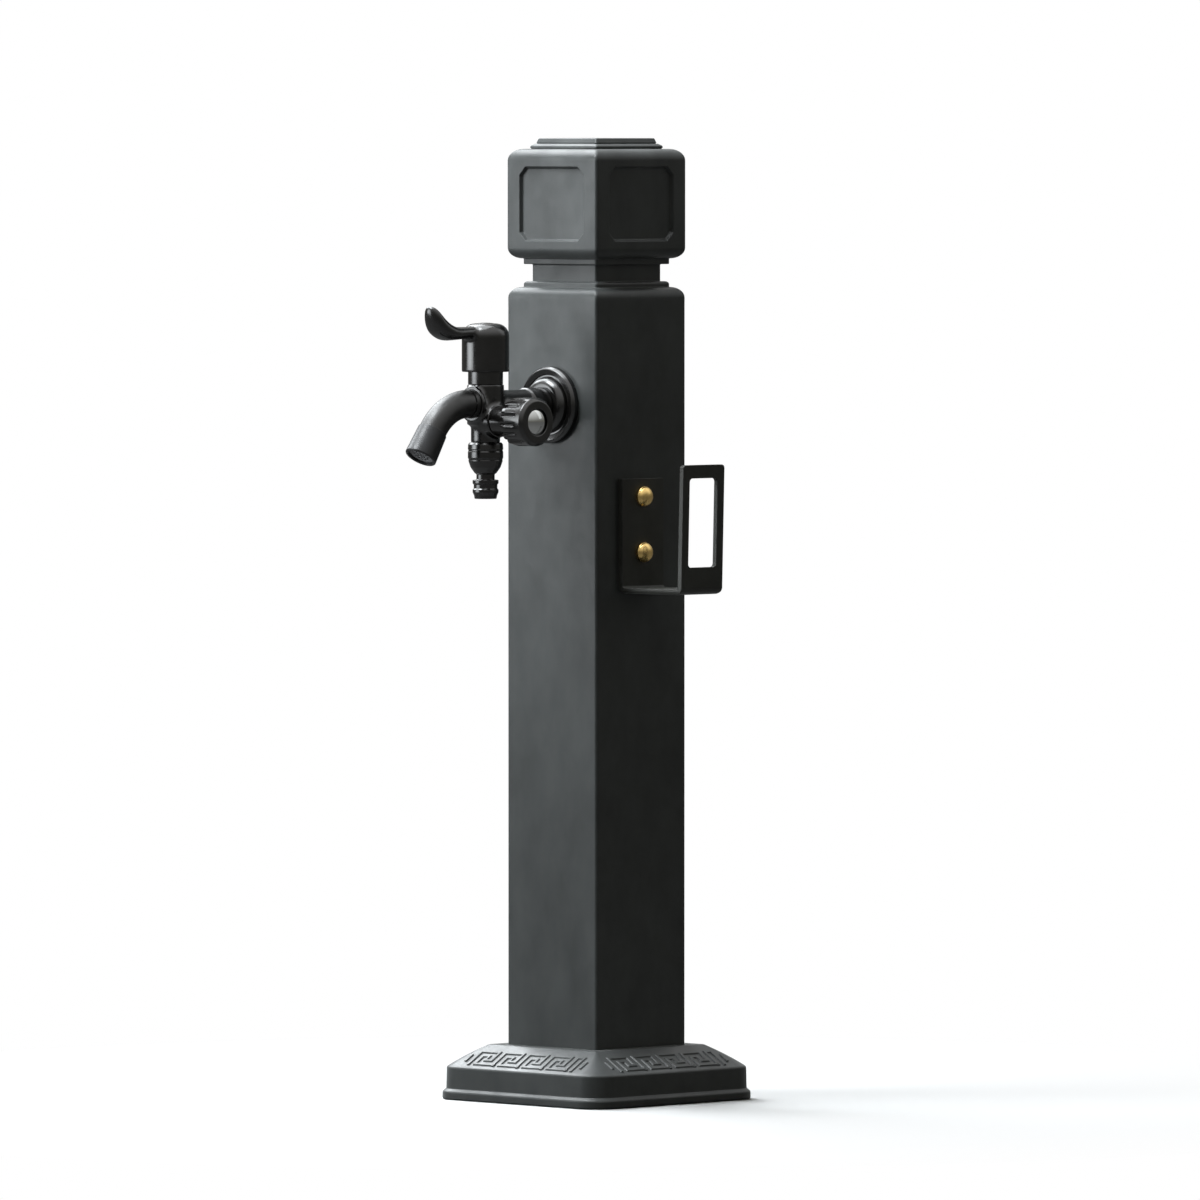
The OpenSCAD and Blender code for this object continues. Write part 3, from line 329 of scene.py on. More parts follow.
def keep(piece, slot, *nodes, body="standpipe", finish=None):
    """Puts a piece on its body, in the place of its CAD nodes, with its slot's finish or another one."""
    piece.data.materials.clear()
    piece.data.materials.append(FINISH[finish or slot])
    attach(piece, body)
    if nodes:
        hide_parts(*nodes)


# Node trees

def node(tree, kind, given=None, output=0, operation=None):
    """One output of a new node; outputs given are linked to its inputs, and other values are constants."""
    new = tree.nodes.new(kind)
    if operation:
        new.operation = operation
    for key, value in (given or {}).items():
        if isinstance(value, bpy.types.NodeSocket):
            tree.links.new(value, new.inputs[key])
        else:
            new.inputs[key].default_value = value
    return new.outputs[output]


def repeat_tree(name):
    """A tree that repeats its geometry in a row, tilts the row, and turns copies of it round Z."""
    tree = bpy.data.node_groups.new(name, "GeometryNodeTree")
    tree.interface.new_socket("Geometry", in_out="OUTPUT", socket_type="NodeSocketGeometry")
    kinds = {"Geometry": "Geometry", "Row count": "Int", "Row start": "Vector", "Row step": "Vector",
             "Tilt": "Vector", "Place": "Vector", "Turns": "Int", "Finish": "Material"}
    for label, kind in kinds.items():
        tree.interface.new_socket(label, in_out="INPUT", socket_type="NodeSocket" + kind)
    given = tree.nodes.new("NodeGroupInput").outputs
    row = node(tree, "GeometryNodeMeshLine", {
        "Count": given["Row count"], "Start Location": given["Row start"], "Offset": given["Row step"]})
    copies = node(tree, "GeometryNodeInstanceOnPoints", {"Points": row, "Instance": given["Geometry"]})
    solid_row = node(tree, "GeometryNodeRealizeInstances", {"Geometry": copies})
    placed = node(tree, "GeometryNodeTransform", {
        "Geometry": solid_row, "Rotation": given["Tilt"], "Translation": given["Place"]})
    centres = node(tree, "GeometryNodeMeshLine", {"Count": given["Turns"], "Offset": (0, 0, 0)})
    index = node(tree, "GeometryNodeInputIndex")
    step = node(tree, "ShaderNodeMath", {0: math.tau, 1: given["Turns"]}, operation="DIVIDE")
    angle = node(tree, "ShaderNodeMath", {0: index, 1: step}, operation="MULTIPLY")
    turn = node(tree, "ShaderNodeCombineXYZ", {"Z": angle})
    sides = node(tree, "GeometryNodeInstanceOnPoints", {
        "Points": centres, "Instance": placed, "Rotation": turn})
    solid = node(tree, "GeometryNodeRealizeInstances", {"Geometry": sides})
    finish = node(tree, "GeometryNodeSetMaterial", {"Geometry": solid, "Material": given["Finish"]})
    tree.links.new(finish, tree.nodes.new("NodeGroupOutput").inputs["Geometry"])
    return tree


def repeated(piece, **inputs):
    """Repeats a piece's own mesh by the tree's named inputs and bakes the result."""
    tree = repeat_tree(piece.name + "_rows")
    settings = {"Row_count": 1, "Turns": 1, **inputs}
    rows = piece.modifiers.new("rows", "NODES")
    rows.node_group = tree
    for socket in tree.interface.items_tree:
        key = socket.name.replace(" ", "_")
        if socket.in_out == "INPUT" and key in settings:
            rows[socket.identifier] = settings[key]
    bake_modifiers(piece)


# Finishes

def shader(name, rgb, roughness, metallic=0.0, specular=0.5, sheen=0.0):
    """A new material with its Principled shader's constant values set on the shader itself."""
    material = bpy.data.materials.new(name)
    material.use_nodes = True
    material.diffuse_color = (*rgb, 1)
    base = material.node_tree.nodes["Principled BSDF"]
    constants = {"Base Color": (*rgb, 1), "Roughness": roughness, "Metallic": metallic,
                 "Specular IOR Level": specular, "Sheen Weight": sheen, "Sheen Roughness": 0.35}
    for key, value in constants.items():
        base.inputs[key].default_value = value
    return material, material.node_tree, base


def noise(tree, scale, detail=3, stretch=(1, 1, 1)):
    """A noise over the object's own coordinates."""
    place = node(tree, "ShaderNodeTexCoord", output="Object")
    scaled = node(tree, "ShaderNodeMapping", {"Vector": place, "Scale": stretch})
    return node(tree, "ShaderNodeTexNoise", {"Vector": scaled, "Scale": scale, "Detail": detail}, "Fac")


def ramp(tree, value, low, high, start=0.3, end=0.7):
    """Maps a value to a range of numbers or of colours."""
    if isinstance(low, tuple):
        band = tree.nodes.new("ShaderNodeValToRGB")
        for stop, place, rgb in zip(band.color_ramp.elements, (start, end), (low, high)):
            stop.position, stop.color = place, (*rgb, 1)
        tree.links.new(value, band.inputs["Fac"])
        return band.outputs["Color"]
    return node(tree, "ShaderNodeMapRange", {
        "Value": value, "From Min": start, "From Max": end, "To Min": low, "To Max": high}, "Result")


def tinted(rgb, factor):
    """A colour made lighter or darker."""
    return tuple(c * factor for c in rgb)


def varied(name, rgb, roughness, tone, gloss, grain, **constants):
    """A material whose colour, roughness and relief follow noises.

    Tone is a noise with the least and most share of the colour, gloss a noise with the least and most
    roughness, and grain a noise with a real height in metres. A noise is its scale, detail and stretch.
    """
    material, tree, base = shader(name, rgb, roughness, **constants)
    clouds, dark, light = tone
    patches, low, high = gloss
    bumps, height = grain
    inputs = {
        "Base Color": ramp(tree, noise(tree, *clouds), tinted(rgb, dark), tinted(rgb, light)),
        "Roughness": ramp(tree, noise(tree, *patches), low, high),
        "Normal": node(tree, "ShaderNodeBump", {
            "Strength": 1.0, "Distance": height, "Height": noise(tree, *bumps)}),
    }
    for key, output in inputs.items():
        tree.links.new(output, base.inputs[key])
    return material


def powder_coat(name, rgb, roughness, grain_scale, grain_depth, specular):
    """A powder coat: faint cloudy colour, uneven gloss and a fine pebbled skin."""
    clouds, patches, uneven = (34, 9, (1, 1, 0.5)), (60, 3), 0.06
    return varied(name, rgb, roughness, (clouds, 0.78, 1.24),
                  (patches, roughness - uneven, roughness + uneven), ((grain_scale, 2), grain_depth),
                  specular=specular, sheen=0.2)


def gloss_paint(name, rgb, roughness, specular=1.0):
    """A glossy black paint with a trace of orange peel."""
    patches, peel, peel_depth = (90, 3), (260, 2), 0.00003
    return varied(name, rgb, roughness, (patches, 0.8, 1.3), (patches, roughness * 0.8, roughness * 1.25),
                  (peel, peel_depth), specular=specular)


def plain_metal(name, rgb, roughness, scale, stretch=(1, 1, 1)):
    """A bare or plated metal with uneven gloss and fine marks."""
    marks, mark_depth = (scale, 4, stretch), 0.00001
    return varied(name, rgb, roughness, (marks, 0.85, 1.08), (marks, roughness * 0.7, roughness * 1.4),
                  (marks, mark_depth), metallic=1.0)


def moulded(name, rgb, roughness):
    """A moulded or fired material with a fine grain."""
    grain, grain_depth, uneven = (700, 3), 0.00002, 0.05
    return varied(name, rgb, roughness, (grain, 0.9, 1.08), (grain, roughness - uneven, roughness + uneven),
                  (grain, grain_depth), specular=0.35)


def make_finishes(context):
    """Makes one material for each finish, by the record's slot names."""
    tints = context.scene.standpipe_finishes
    return {
        "post_paint": powder_coat("anthracite powder coat", tints.coat, 0.38, grain_scale=1400,
                                  grain_depth=0.00006, specular=0.36),
        "tap_black": gloss_paint("gloss black tap", tints.gloss, 0.22),
        "handle_black": gloss_paint("gloss black handle", tints.gloss, 0.20),
        "spout_black": gloss_paint("satin black spout", tints.gloss, 0.42, 0.8),
        "tip_black": gloss_paint("satin black tip", tints.satin, 0.38, 0.5),
        "hook_black": powder_coat("semi-gloss black hook", tints.hook, 0.38, grain_scale=1100,
                                  grain_depth=0.00005, specular=0.25),
        "nut_brass": plain_metal("polished brass", tints.brass, 0.26, 120),
        "button_chrome": plain_metal("bright chrome", tints.chrome, 0.07, 60),
        "zinc_steel": plain_metal("zinc plated steel", tints.zinc, 0.34, 240),
        "fitting_brass": plain_metal("machined brass", (0.72, 0.53, 0.25), 0.28, 400, (1, 1, 6)),
        "riser_plastic": moulded("grey water pipe", (0.55, 0.55, 0.53), 0.45),
        "seal_rubber": moulded("black rubber", (0.02, 0.02, 0.02), 0.7),
        # Painted light: the insert's grey is set lighter than its own colour, to stand in for the light that
        # the pale ground throws up into the spout's mouth.
        "straightener_grey": moulded("grey insert lightened as painted light", (0.45, 0.455, 0.47), 0.5),
        "disc_ceramic": moulded("lapped ceramic", (0.82, 0.81, 0.77), 0.25),
    }


# Operators

class STANDPIPE_OT_finishes(bpy.types.Operator):
    """Make the finishes and give every CAD node the finish of its material slot"""

    bl_idname = "standpipe.finishes"
    bl_label = "Finishes"

    def execute(self, context):
        FINISH.update(make_finishes(context))
        for row in frame["record"]["subparts"]:
            mesh = frame["nodes"][row["node"]].data
            mesh.materials.clear()
            mesh.materials.append(FINISH[row["material_slot"]])
        return {"FINISHED"}


class STANDPIPE_OT_post(bpy.types.Operator):
    """Build the post tube"""

    bl_idname = "standpipe.post"
    bl_label = "Post"

    def execute(self, context):
        sizes = context.scene.standpipe_post
        half = POST_HIGH.x
        inner, inner_r = half - sizes.wall, sizes.edge_r * 0.4
        low, high = POST_LOW.z, POST_HIGH.z
        loops = [square_loop(half, low, sizes.edge_r), square_loop(half, high, sizes.edge_r),
                 square_loop(inner, high, inner_r), square_loop(inner, low, inner_r)]
        tube = lofted("post_tube_look", loops, wrap=True)
        keep(tube, "post_paint", "post_tube")
        return {"FINISHED"}


def hip_rounding(sizes, half):
    """Rounding of the shoe's corners at a distance from its middle; it shrinks fast up the hips."""
    way = (half - sizes.ledge_half) / (sizes.side_half - sizes.ledge_half)
    haste, least = 1.8, 0.6 * MM
    if 0 < way < 1:
        way = way ** haste
    return max(sizes.hip_corner + (sizes.side_corner - sizes.hip_corner) * way, least)


class STANDPIPE_OT_shoe(bpy.types.Operator):
    """Build the cast shoe at the foot of the post"""

    bl_idname = "standpipe.shoe"
    bl_label = "Base shoe"

    def execute(self, context):
        sizes = context.scene.standpipe_post
        out = SHOE_HIGH.x
        top = SHOE_HIGH.z
        side, side_h, ledge = sizes.side_half, sizes.side_h, sizes.ledge_half
        post_gap = 0.2 * MM
        hole = POST_HIGH.x + post_gap
        wall = sizes.shoe_wall
        outline = [
            (side - wall, 0, 0), (out - 0.4 * MM, 0, 0.3 * MM), (out, 0.9 * MM, 0.6 * MM),
            (out, sizes.bead_h * 0.74, 2.6 * MM), (side + 0.4 * MM, sizes.bead_h + 0.4 * MM, 0.9 * MM),
            (side, side_h, 2.6 * MM),
        ]
        rows = 8
        shares = [k / rows for k in range(1, rows)]
        outline += [(side + (ledge - side) * k, side_h + (top - side_h) * k, 0) for k in shares]
        outline += [
            (ledge, top, 4 * MM), (hole, top, 0.8 * MM), (hole, top - wall, 0),
            (ledge - wall, top - wall, 3 * MM), (side - wall, side_h - wall, 3 * MM),
        ]
        loops = [square_loop(half, z, hip_rounding(sizes, half), 12) for half, z in rounded(outline, 5)]
        shoe = lofted("base_shoe_look", loops, wrap=True)
        keep(shoe, "post_paint", "base_shoe")
        return {"FINISHED"}


# The key band over its cells: how many make a unit and its height, the lines of the unit's spiral, the two
# bars that close a row, and the short bar beyond each end
KEY_WIDE, KEY_TALL = 4, 3
KEY_UNIT = [(0, 0), (0, 3), (3, 3), (3, 1), (2, 1), (2, 2), (1, 2), (1, 0), (4, 0)]
KEY_END = [(0, 0), (0, 3), (1, 3), (1, 0)]
KEY_STUB = [(0, 0.8), (0, 1.9)]


def key_line(name, sizes, line):
    """A raised line over the cells of the key."""
    step_x, step_y = sizes.key_pitch / KEY_WIDE, sizes.key_h / KEY_TALL
    bm = bmesh.new()
    path = [Vector((x * step_x, (y - KEY_TALL / 2) * step_y, 0)) for x, y in line]
    add_bar(bm, path, sizes.key_bar, sizes.key_rise)
    return made(name, bm)


def add_bar(bm, path, width, rise):
    """A raised bar with sloped sides along a line of straight runs, mitred at its corners."""
    section = [(0.5, -0.8), (0.5, 0.1), (0.26, 1.0), (-0.26, 1.0), (-0.5, 0.1), (-0.5, -0.8)]
    loops = []
    for i, here in enumerate(path):
        before = (here - path[i - 1]).normalized() if i else None
        after = (path[i + 1] - here).normalized() if i < len(path) - 1 else None
        ahead = before or after
        follow = after or before
        left = Vector((-ahead.y - follow.y, ahead.x + follow.x, 0)).normalized()
        stretch = 1 / max(left.dot(Vector((-ahead.y, ahead.x, 0))), 0.3)
        middle = here
        if before is None:
            middle = here - follow * (width / 2)
        elif after is None:
            middle = here + ahead * (width / 2)
        loops.append([middle + left * (a * width * stretch) + Vector((0, 0, b * rise)) for a, b in section])
    add_loops(bm, loops, ends=True)


class STANDPIPE_OT_key(bpy.types.Operator):
    """Build the raised key band on the slopes of the shoe"""

    bl_idname = "standpipe.key"
    bl_label = "Key band"

    def execute(self, context):
        sizes = context.scene.standpipe_post
        run = sizes.side_half - sizes.ledge_half
        rise = SHOE_HIGH.z - sizes.side_h
        slope = math.atan2(rise, run)
        middle = (sizes.side_half + sizes.ledge_half) / 2
        mid_z = (SHOE_HIGH.z + sizes.side_h) / 2
        place = Vector((0, -middle, mid_z)) - sizes.key_drop * Vector((0, math.cos(slope), math.sin(slope)))
        cell = sizes.key_pitch / KEY_WIDE
        left = -(sizes.key_units * sizes.key_pitch + cell) / 2
        rows = [("shoe_key_band", KEY_UNIT, sizes.key_units, left, sizes.key_pitch),
                ("shoe_key_end", KEY_END, 1, -left - cell, 0),
                ("shoe_key_stub", KEY_STUB, 2, left - cell, 2 * (cell - left))]
        pieces = []
        for name, line, count, start, step in rows:
            piece = key_line(name, sizes, line)
            repeated(piece, Row_count=count, Row_start=(start, 0, 0), Row_step=(step, 0, 0),
                     Tilt=(slope, 0, 0), Place=tuple(place), Turns=4, Finish=FINISH["post_paint"])
            pieces.append(piece)
        band = bmesh.new()
        for piece in pieces:
            band.from_mesh(piece.data)
        band.to_mesh(pieces[0].data)
        band.free()
        for piece in pieces[1:]:
            bpy.data.objects.remove(piece)
        smooth(pieces[0])
        keep(pieces[0], "post_paint")
        return {"FINISHED"}


def add_panel(bm, flat, middle, sizes):
    """Cuts one flat side open and sets a sunk panel with cut-off corners in it."""
    out = flat.normal.copy()
    across = Vector((-out.y, out.x, 0))
    centre = out * flat.calc_center_median().dot(out) + Vector((0, 0, middle))
    border = list(flat.edges)
    bmesh.ops.delete(bm, geom=[flat], context="FACES_ONLY")
    depth, bevel, lip = sizes.panel_depth, sizes.panel_bevel, 0.7 * MM
    edge = [(0, 0, 0), (lip, 0, lip), (bevel, -depth, 0.9 * MM), (bevel + 1.2 * MM, -depth, 0)]
    rows = []
    for inset, sink in rounded(edge, 4):
        outline = panel_loop(sizes, inset)
        rows.append([centre + across * u + Vector((0, 0, v)) + out * sink for u, v in outline])
    rings = add_loops(bm, rows)
    bm.faces.new(rings[-1])
    first = rings[0]
    rim = [bm.edges.get((first[k - 1], first[k])) for k in range(len(first))]
    bmesh.ops.triangle_fill(bm, use_beauty=True, use_dissolve=False, edges=border + rim, normal=out)


def panel_loop(sizes, inset):
    """The panel's outline, drawn in by an inset, with each cut corner a little rounded."""
    x, y = sizes.panel_w / 2 - inset, sizes.panel_h / 2 - inset
    cut = sizes.panel_cut - inset * (2 - math.sqrt(2))
    soft = 1.4 * MM
    corners = []
    for sx, sy in ((1, 1), (-1, 1), (-1, -1), (1, -1)):
        pair = [(sx * x, sy * (y - cut), soft), (sx * (x - cut), sy * y, soft)]
        corners += pair if sx * sy > 0 else pair[::-1]
    return rounded(corners, 3, closed=True)


class STANDPIPE_OT_head(bpy.types.Operator):
    """Build the column head with its four recessed panels"""

    bl_idname = "standpipe.head"
    bl_label = "Column head"

    def execute(self, context):
        sizes = context.scene.standpipe_head
        half = POST_HIGH.x
        block = HEAD_HIGH.x
        z = POST_HIGH.z
        collar_z = z + sizes.shoulder_h
        neck_z = collar_z + sizes.collar_h
        upper_z = neck_z + sizes.neck_h
        block_z = upper_z + sizes.collar_h
        top = HEAD_HIGH.z
        collar, neck = sizes.collar_half, sizes.neck_half
        plug = half - 3.2 * MM
        hole = LID_HIGH.x - 5 * MM
        outline = [
            (plug - 4 * MM, HEAD_LOW.z, 0), (plug, HEAD_LOW.z, 0), (plug, z, 0), (half, z, 0),
            (half, collar_z, sizes.shoulder_r), (collar, collar_z, 0.4 * MM), (collar, neck_z, 2.4 * MM),
            (neck, neck_z, 0.5 * MM), (neck, upper_z, 0.8 * MM), (collar, upper_z, 0.7 * MM),
            (collar, block_z, 0.6 * MM), (block, block_z, sizes.block_r), (block, top, sizes.block_r),
            (hole, top, 0.3 * MM), (hole, top - 4 * MM, 0),
        ]
        profile = rounded(outline, 7)
        bm = bmesh.new()
        add_loops(bm, [square_loop(r, h, sizes.corner) for r, h in profile])
        bmesh.ops.remove_doubles(bm, verts=bm.verts, dist=MERGE)
        bm.normal_update()
        middle = (block_z + top) / 2
        upright, least_area = 0.01, 0.05 * 0.05
        flats = [f for f in bm.faces if abs(f.normal.z) < upright and f.calc_area() > least_area
                 and abs(f.calc_center_median().z - middle) < MM]
        if len(flats) != 4:
            raise RuntimeError(f"the block has {len(flats)} flat sides in place of 4")
        for flat in flats:
            add_panel(bm, flat, middle, sizes)
        head = made("column_head_look", bm)
        smooth(head, 32)
        keep(head, "post_paint", "column_head")
        return {"FINISHED"}


class STANDPIPE_OT_lid(bpy.types.Operator):
    """Build the stepped lid on the head"""

    bl_idname = "standpipe.lid"
    bl_label = "Head lid"

    def execute(self, context):
        low, top, half = HEAD_HIGH.z, LID_HIGH.z, LID_HIGH.x
        plug, corner = half - 5.2 * MM, 1.6 * MM
        tiers = [(-0.6, 0, 0), (-0.6, 0.5, 0.2), (0, 0.8, 0.4), (0, 2.4, 1.6), (-2.6, 4, 0.8),
                 (-3.9, 4.1, 0.2), (-3.9, 4.5, 0.2), (-3.5, 4.8, 0.4)]
        outline = [(plug - 4 * MM, LID_LOW.z, 0), (plug, LID_LOW.z, 0), (plug, low, 0)]
        outline += [(half + r, low + h, f) for r, h, f in in_mm(tiers)]
        outline += [(half - 4.8 * MM, top, 1.1 * MM), (half - 12 * MM, top, 0), (2 * MM, top, 0)]
        bm = bmesh.new()
        rows = add_loops(bm, [square_loop(r, h, corner) for r, h in rounded(outline, 5)])
        bm.faces.new(rows[-1])
        lid = made("head_lid_look", bm)
        smooth(lid, 32)
        keep(lid, "post_paint", "head_lid")
        return {"FINISHED"}


class STANDPIPE_OT_tap_body(bpy.types.Operator):
    """Build the tap's cast body"""

    bl_idname = "standpipe.tap_body"
    bl_label = "Tap body"

    def execute(self, context):
        bm = bmesh.new()
        bm.from_mesh(frame["nodes"]["tap_body"].data)
        body = made("tap_body_look", bm, merge=CAD_MERGE)
        blend_cast(body, voxel=0.7 * MM, fillet=1.5 * MM, rounds=8)
        keep(body, "tap_black", "tap_body")
        return {"FINISHED"}


class STANDPIPE_OT_wall_flange(bpy.types.Operator):
    """Build the tap's wall flange"""

    bl_idname = "standpipe.wall_flange"
    bl_label = "Wall flange"

    def execute(self, context):
        wall = FLANGE_HIGH.y
        rim = (FLANGE_HIGH.x - FLANGE_LOW.x) / 2
        deep = FLANGE_HIGH.y - FLANGE_LOW.y
        edge, high = rim / MM, deep / MM
        bore, crown, ridges, steps = 10.7, 15.0, 4, 12
        outline = [(bore, 0, 0), (edge, 0, 0.4), (edge, 4.2, 1.5), (edge - 1.8, 6.4, 1.2)]
        for k in range(ridges):
            crest = edge - 2.4 - 0.95 * k
            sunk = 6.5 - 0.38 * k
            outline += [(crest, sunk, 0.12), (crest - 0.45, sunk - 0.26, 0.12)]
        outline += [(edge - 6.1, 5.0, 0.3), (edge - 6.6, 4.0, 0.3), (edge - 8.0, 4.0, 0.3)]
        swell = [math.pi / 2 * k / steps for k in range(1, steps + 1)]
        reach = edge - 8.4 - crown
        outline += [(crown + reach * math.cos(a), high - reach + reach * math.sin(a), 0) for a in swell]
        outline += [(bore, high, 0)]
        place = Matrix.Translation((0, wall, TAP_Z)) @ Matrix.Rotation(math.radians(90), 4, "X")
        loops = turned_loops(rounded(in_mm(outline), 4), place, 96)
        flange = lofted("wall_flange_look", loops, 40, wrap=True)
        keep(flange, "tap_black", "wall_flange")
        return {"FINISHED"}


def bend_point(sizes, angle):
    """A point on the bend's middle line and the direction of flow there."""
    y = TAP.y - sizes.bend_start - sizes.bend_r * math.sin(angle)
    z = TAP.z + sizes.spout_rise - sizes.bend_r * (1 - math.cos(angle))
    return Vector((0, y, z)), Vector((0, -math.cos(angle), -math.sin(angle)))


class STANDPIPE_OT_spout(bpy.types.Operator):
    """Build the bent spout and its tip"""

    bl_idname = "standpipe.spout"
    bl_label = "Spout"

    def execute(self, context):
        sizes = context.scene.standpipe_tap
        root = TAP + Vector((0, 0, sizes.spout_rise))
        across, up = Vector((1, 0, 0)), Vector((0, 0, 1))
        swell = [(sizes.port, 0.6 * MM), (sizes.port + 1.2 * MM, 0.5 * MM), (sizes.bend_start, 0.1 * MM)]
        steps, sides = 36, 64
        loops = [circle_loop(root - Vector((0, y, 0)), across, up, sizes.spout_r + more, sides)
                 for y, more in swell]
        for k in range(1, steps + 1):
            centre, along = bend_point(sizes, sizes.bend_angle * k / steps)
            loops.append(circle_loop(centre, across, across.cross(along), sizes.spout_r, sides))
        spout = lofted("spout_look", loops, ends=True)
        keep(spout, "tap_black", "spout", finish="spout_black")
        end, along = bend_point(sizes, sizes.bend_angle)
        place = Matrix.Translation(end) @ along.to_track_quat("Z", "X").to_matrix().to_4x4()
        tip_l = sizes.tip_l / MM
        outline = [
            (10.2, 6, 0), (10.2, 0, 0), (11.8, 0, 0.6), (12.8, tip_l - 0.6, 0.9), (12.3, tip_l, 0.4),
            (10.4, tip_l, 0.5), (10.0, tip_l - 4, 0),
        ]
        tip = lofted("spout_tip_look", turned_loops(rounded(in_mm(outline), 4), place), wrap=True)
        keep(tip, "tip_black", "spout_tip")
        return {"FINISHED"}


class STANDPIPE_OT_bonnets(bpy.types.Operator):
    """Build the bonnets of the two valves"""

    bl_idname = "standpipe.bonnets"
    bl_label = "Bonnets"

    def execute(self, context):
        for bonnet in ("bonnet", "side_bonnet"):
            keep(copy_of(bonnet, 0.6 * MM), "tap_black", bonnet)
        return {"FINISHED"}


def add_lever(bm, sizes):
    """An arm that leaves the cap level and swells into a fat paddle with a rising round end."""
    reach = sizes.lever_len / MM
    root, swell_from, swell_run, rise_from, lift_from, nose = 4, 18, 30, 31, 42, 8
    over_z, under_z, squareness = 62.5, 53.1, 0.8
    stations, around = 44, 40
    loops = []
    for k in range(stations + 1):
        u = root + (reach - root - 0.02) * math.sin(math.pi / 2 * k / stations)
        swell = min(max((u - swell_from) / swell_run, 0), 1)
        swell = swell * swell * (3 - 2 * swell)
        over = over_z + 22.5 * max((u - rise_from) / (reach - rise_from), 0) ** 2
        under = under_z - 1.2 * swell + 12.5 * max((u - lift_from) / (reach - lift_from), 0) ** 2.2
        half_w = 7.0 + 2.5 * swell
        half_h = (over - under) / 2
        half_w *= math.sqrt(max(1 - (max(u - reach + half_w, 0) / half_w) ** 2, 0))
        half_h *= math.sqrt(max(1 - (max(u - reach + nose, 0) / nose) ** 2, 0))
        loop = []
        for n in range(around):
            c, s = math.cos(math.tau * n / around), math.sin(math.tau * n / around)
            x = math.copysign(abs(c) ** squareness, c) * half_w
            z = (over + under) / 2 + math.copysign(abs(s) ** squareness, s) * half_h
            loop.append(TAP + Vector((x, -u, z)) * MM)
        loops.append(loop)
    add_loops(bm, loops, ends=True)


class STANDPIPE_OT_lever(bpy.types.Operator):
    """Build the lever handle with its cap and plug"""

    bl_idname = "standpipe.lever"
    bl_label = "Lever handle"

    def execute(self, context):
        sizes = context.scene.standpipe_tap
        bm = bmesh.new()
        low, top = HANDLE_LOW.z, CAP_HIGH.z + 0.4 * MM
        cap = sizes.cap_r
        seat = 6.5 * MM
        inside = top - 10 * MM
        outline = [
            (cap - 3 * MM, low, 0.5 * MM), (cap, low, 0.6 * MM), (cap, top - 0.8 * MM, sizes.cap_edge),
            (seat, top + 0.5 * MM, 0.3 * MM), (seat, top - 2.4 * MM, 0), (0, top - 2.4 * MM, 0),
            (0, inside, 0), (cap - 3 * MM, inside, 2 * MM),
        ]
        axis = Matrix.Translation((0, TAP_Y, 0))
        add_loops(bm, turned_loops(rounded(outline, 8, closed=True), axis), wrap=True)
        add_lever(bm, sizes)
        handle = made("lever_handle_look", bm)
        blend_cast(handle, voxel=0.65 * MM, fillet=1.3 * MM, rounds=8)
        keep(handle, "handle_black", "lever_handle", body="lever")
        crown = top + 0.9 * MM
        plug = 6.35 * MM
        outline = [
            (0, top - 2.2 * MM, 0), (plug, top - 2.2 * MM, 0), (plug, top + 0.5 * MM, 0.5 * MM),
            (plug * 0.5, crown - 0.1 * MM, 4 * MM), (0, crown, 0),
        ]
        button = lofted("handle_plug_look", turned_loops(rounded(outline, 5), axis, 48))
        keep(button, "handle_black", "handle_plug", body="lever")
        return {"FINISHED"}


def dense_profile(profile):
    """The same closed profile with points added so that no step is longer than a millimetre."""
    out = []
    for i, (r, x) in enumerate(profile):
        r1, x1 = profile[(i + 1) % len(profile)]
        parts = max(1, math.ceil(math.hypot(r1 - r, x1 - x) / MM))
        out += [(r + (r1 - r) * k / parts, x + (x1 - x) * k / parts) for k in range(parts)]
    return out


def flute_fade(x, end):
    """1 along the flutes, falling smoothly to 0 at their front end."""
    run = 3 * MM
    t = min(max((end - x) / run, 0), 1)
    return t * t * (3 - 2 * t)


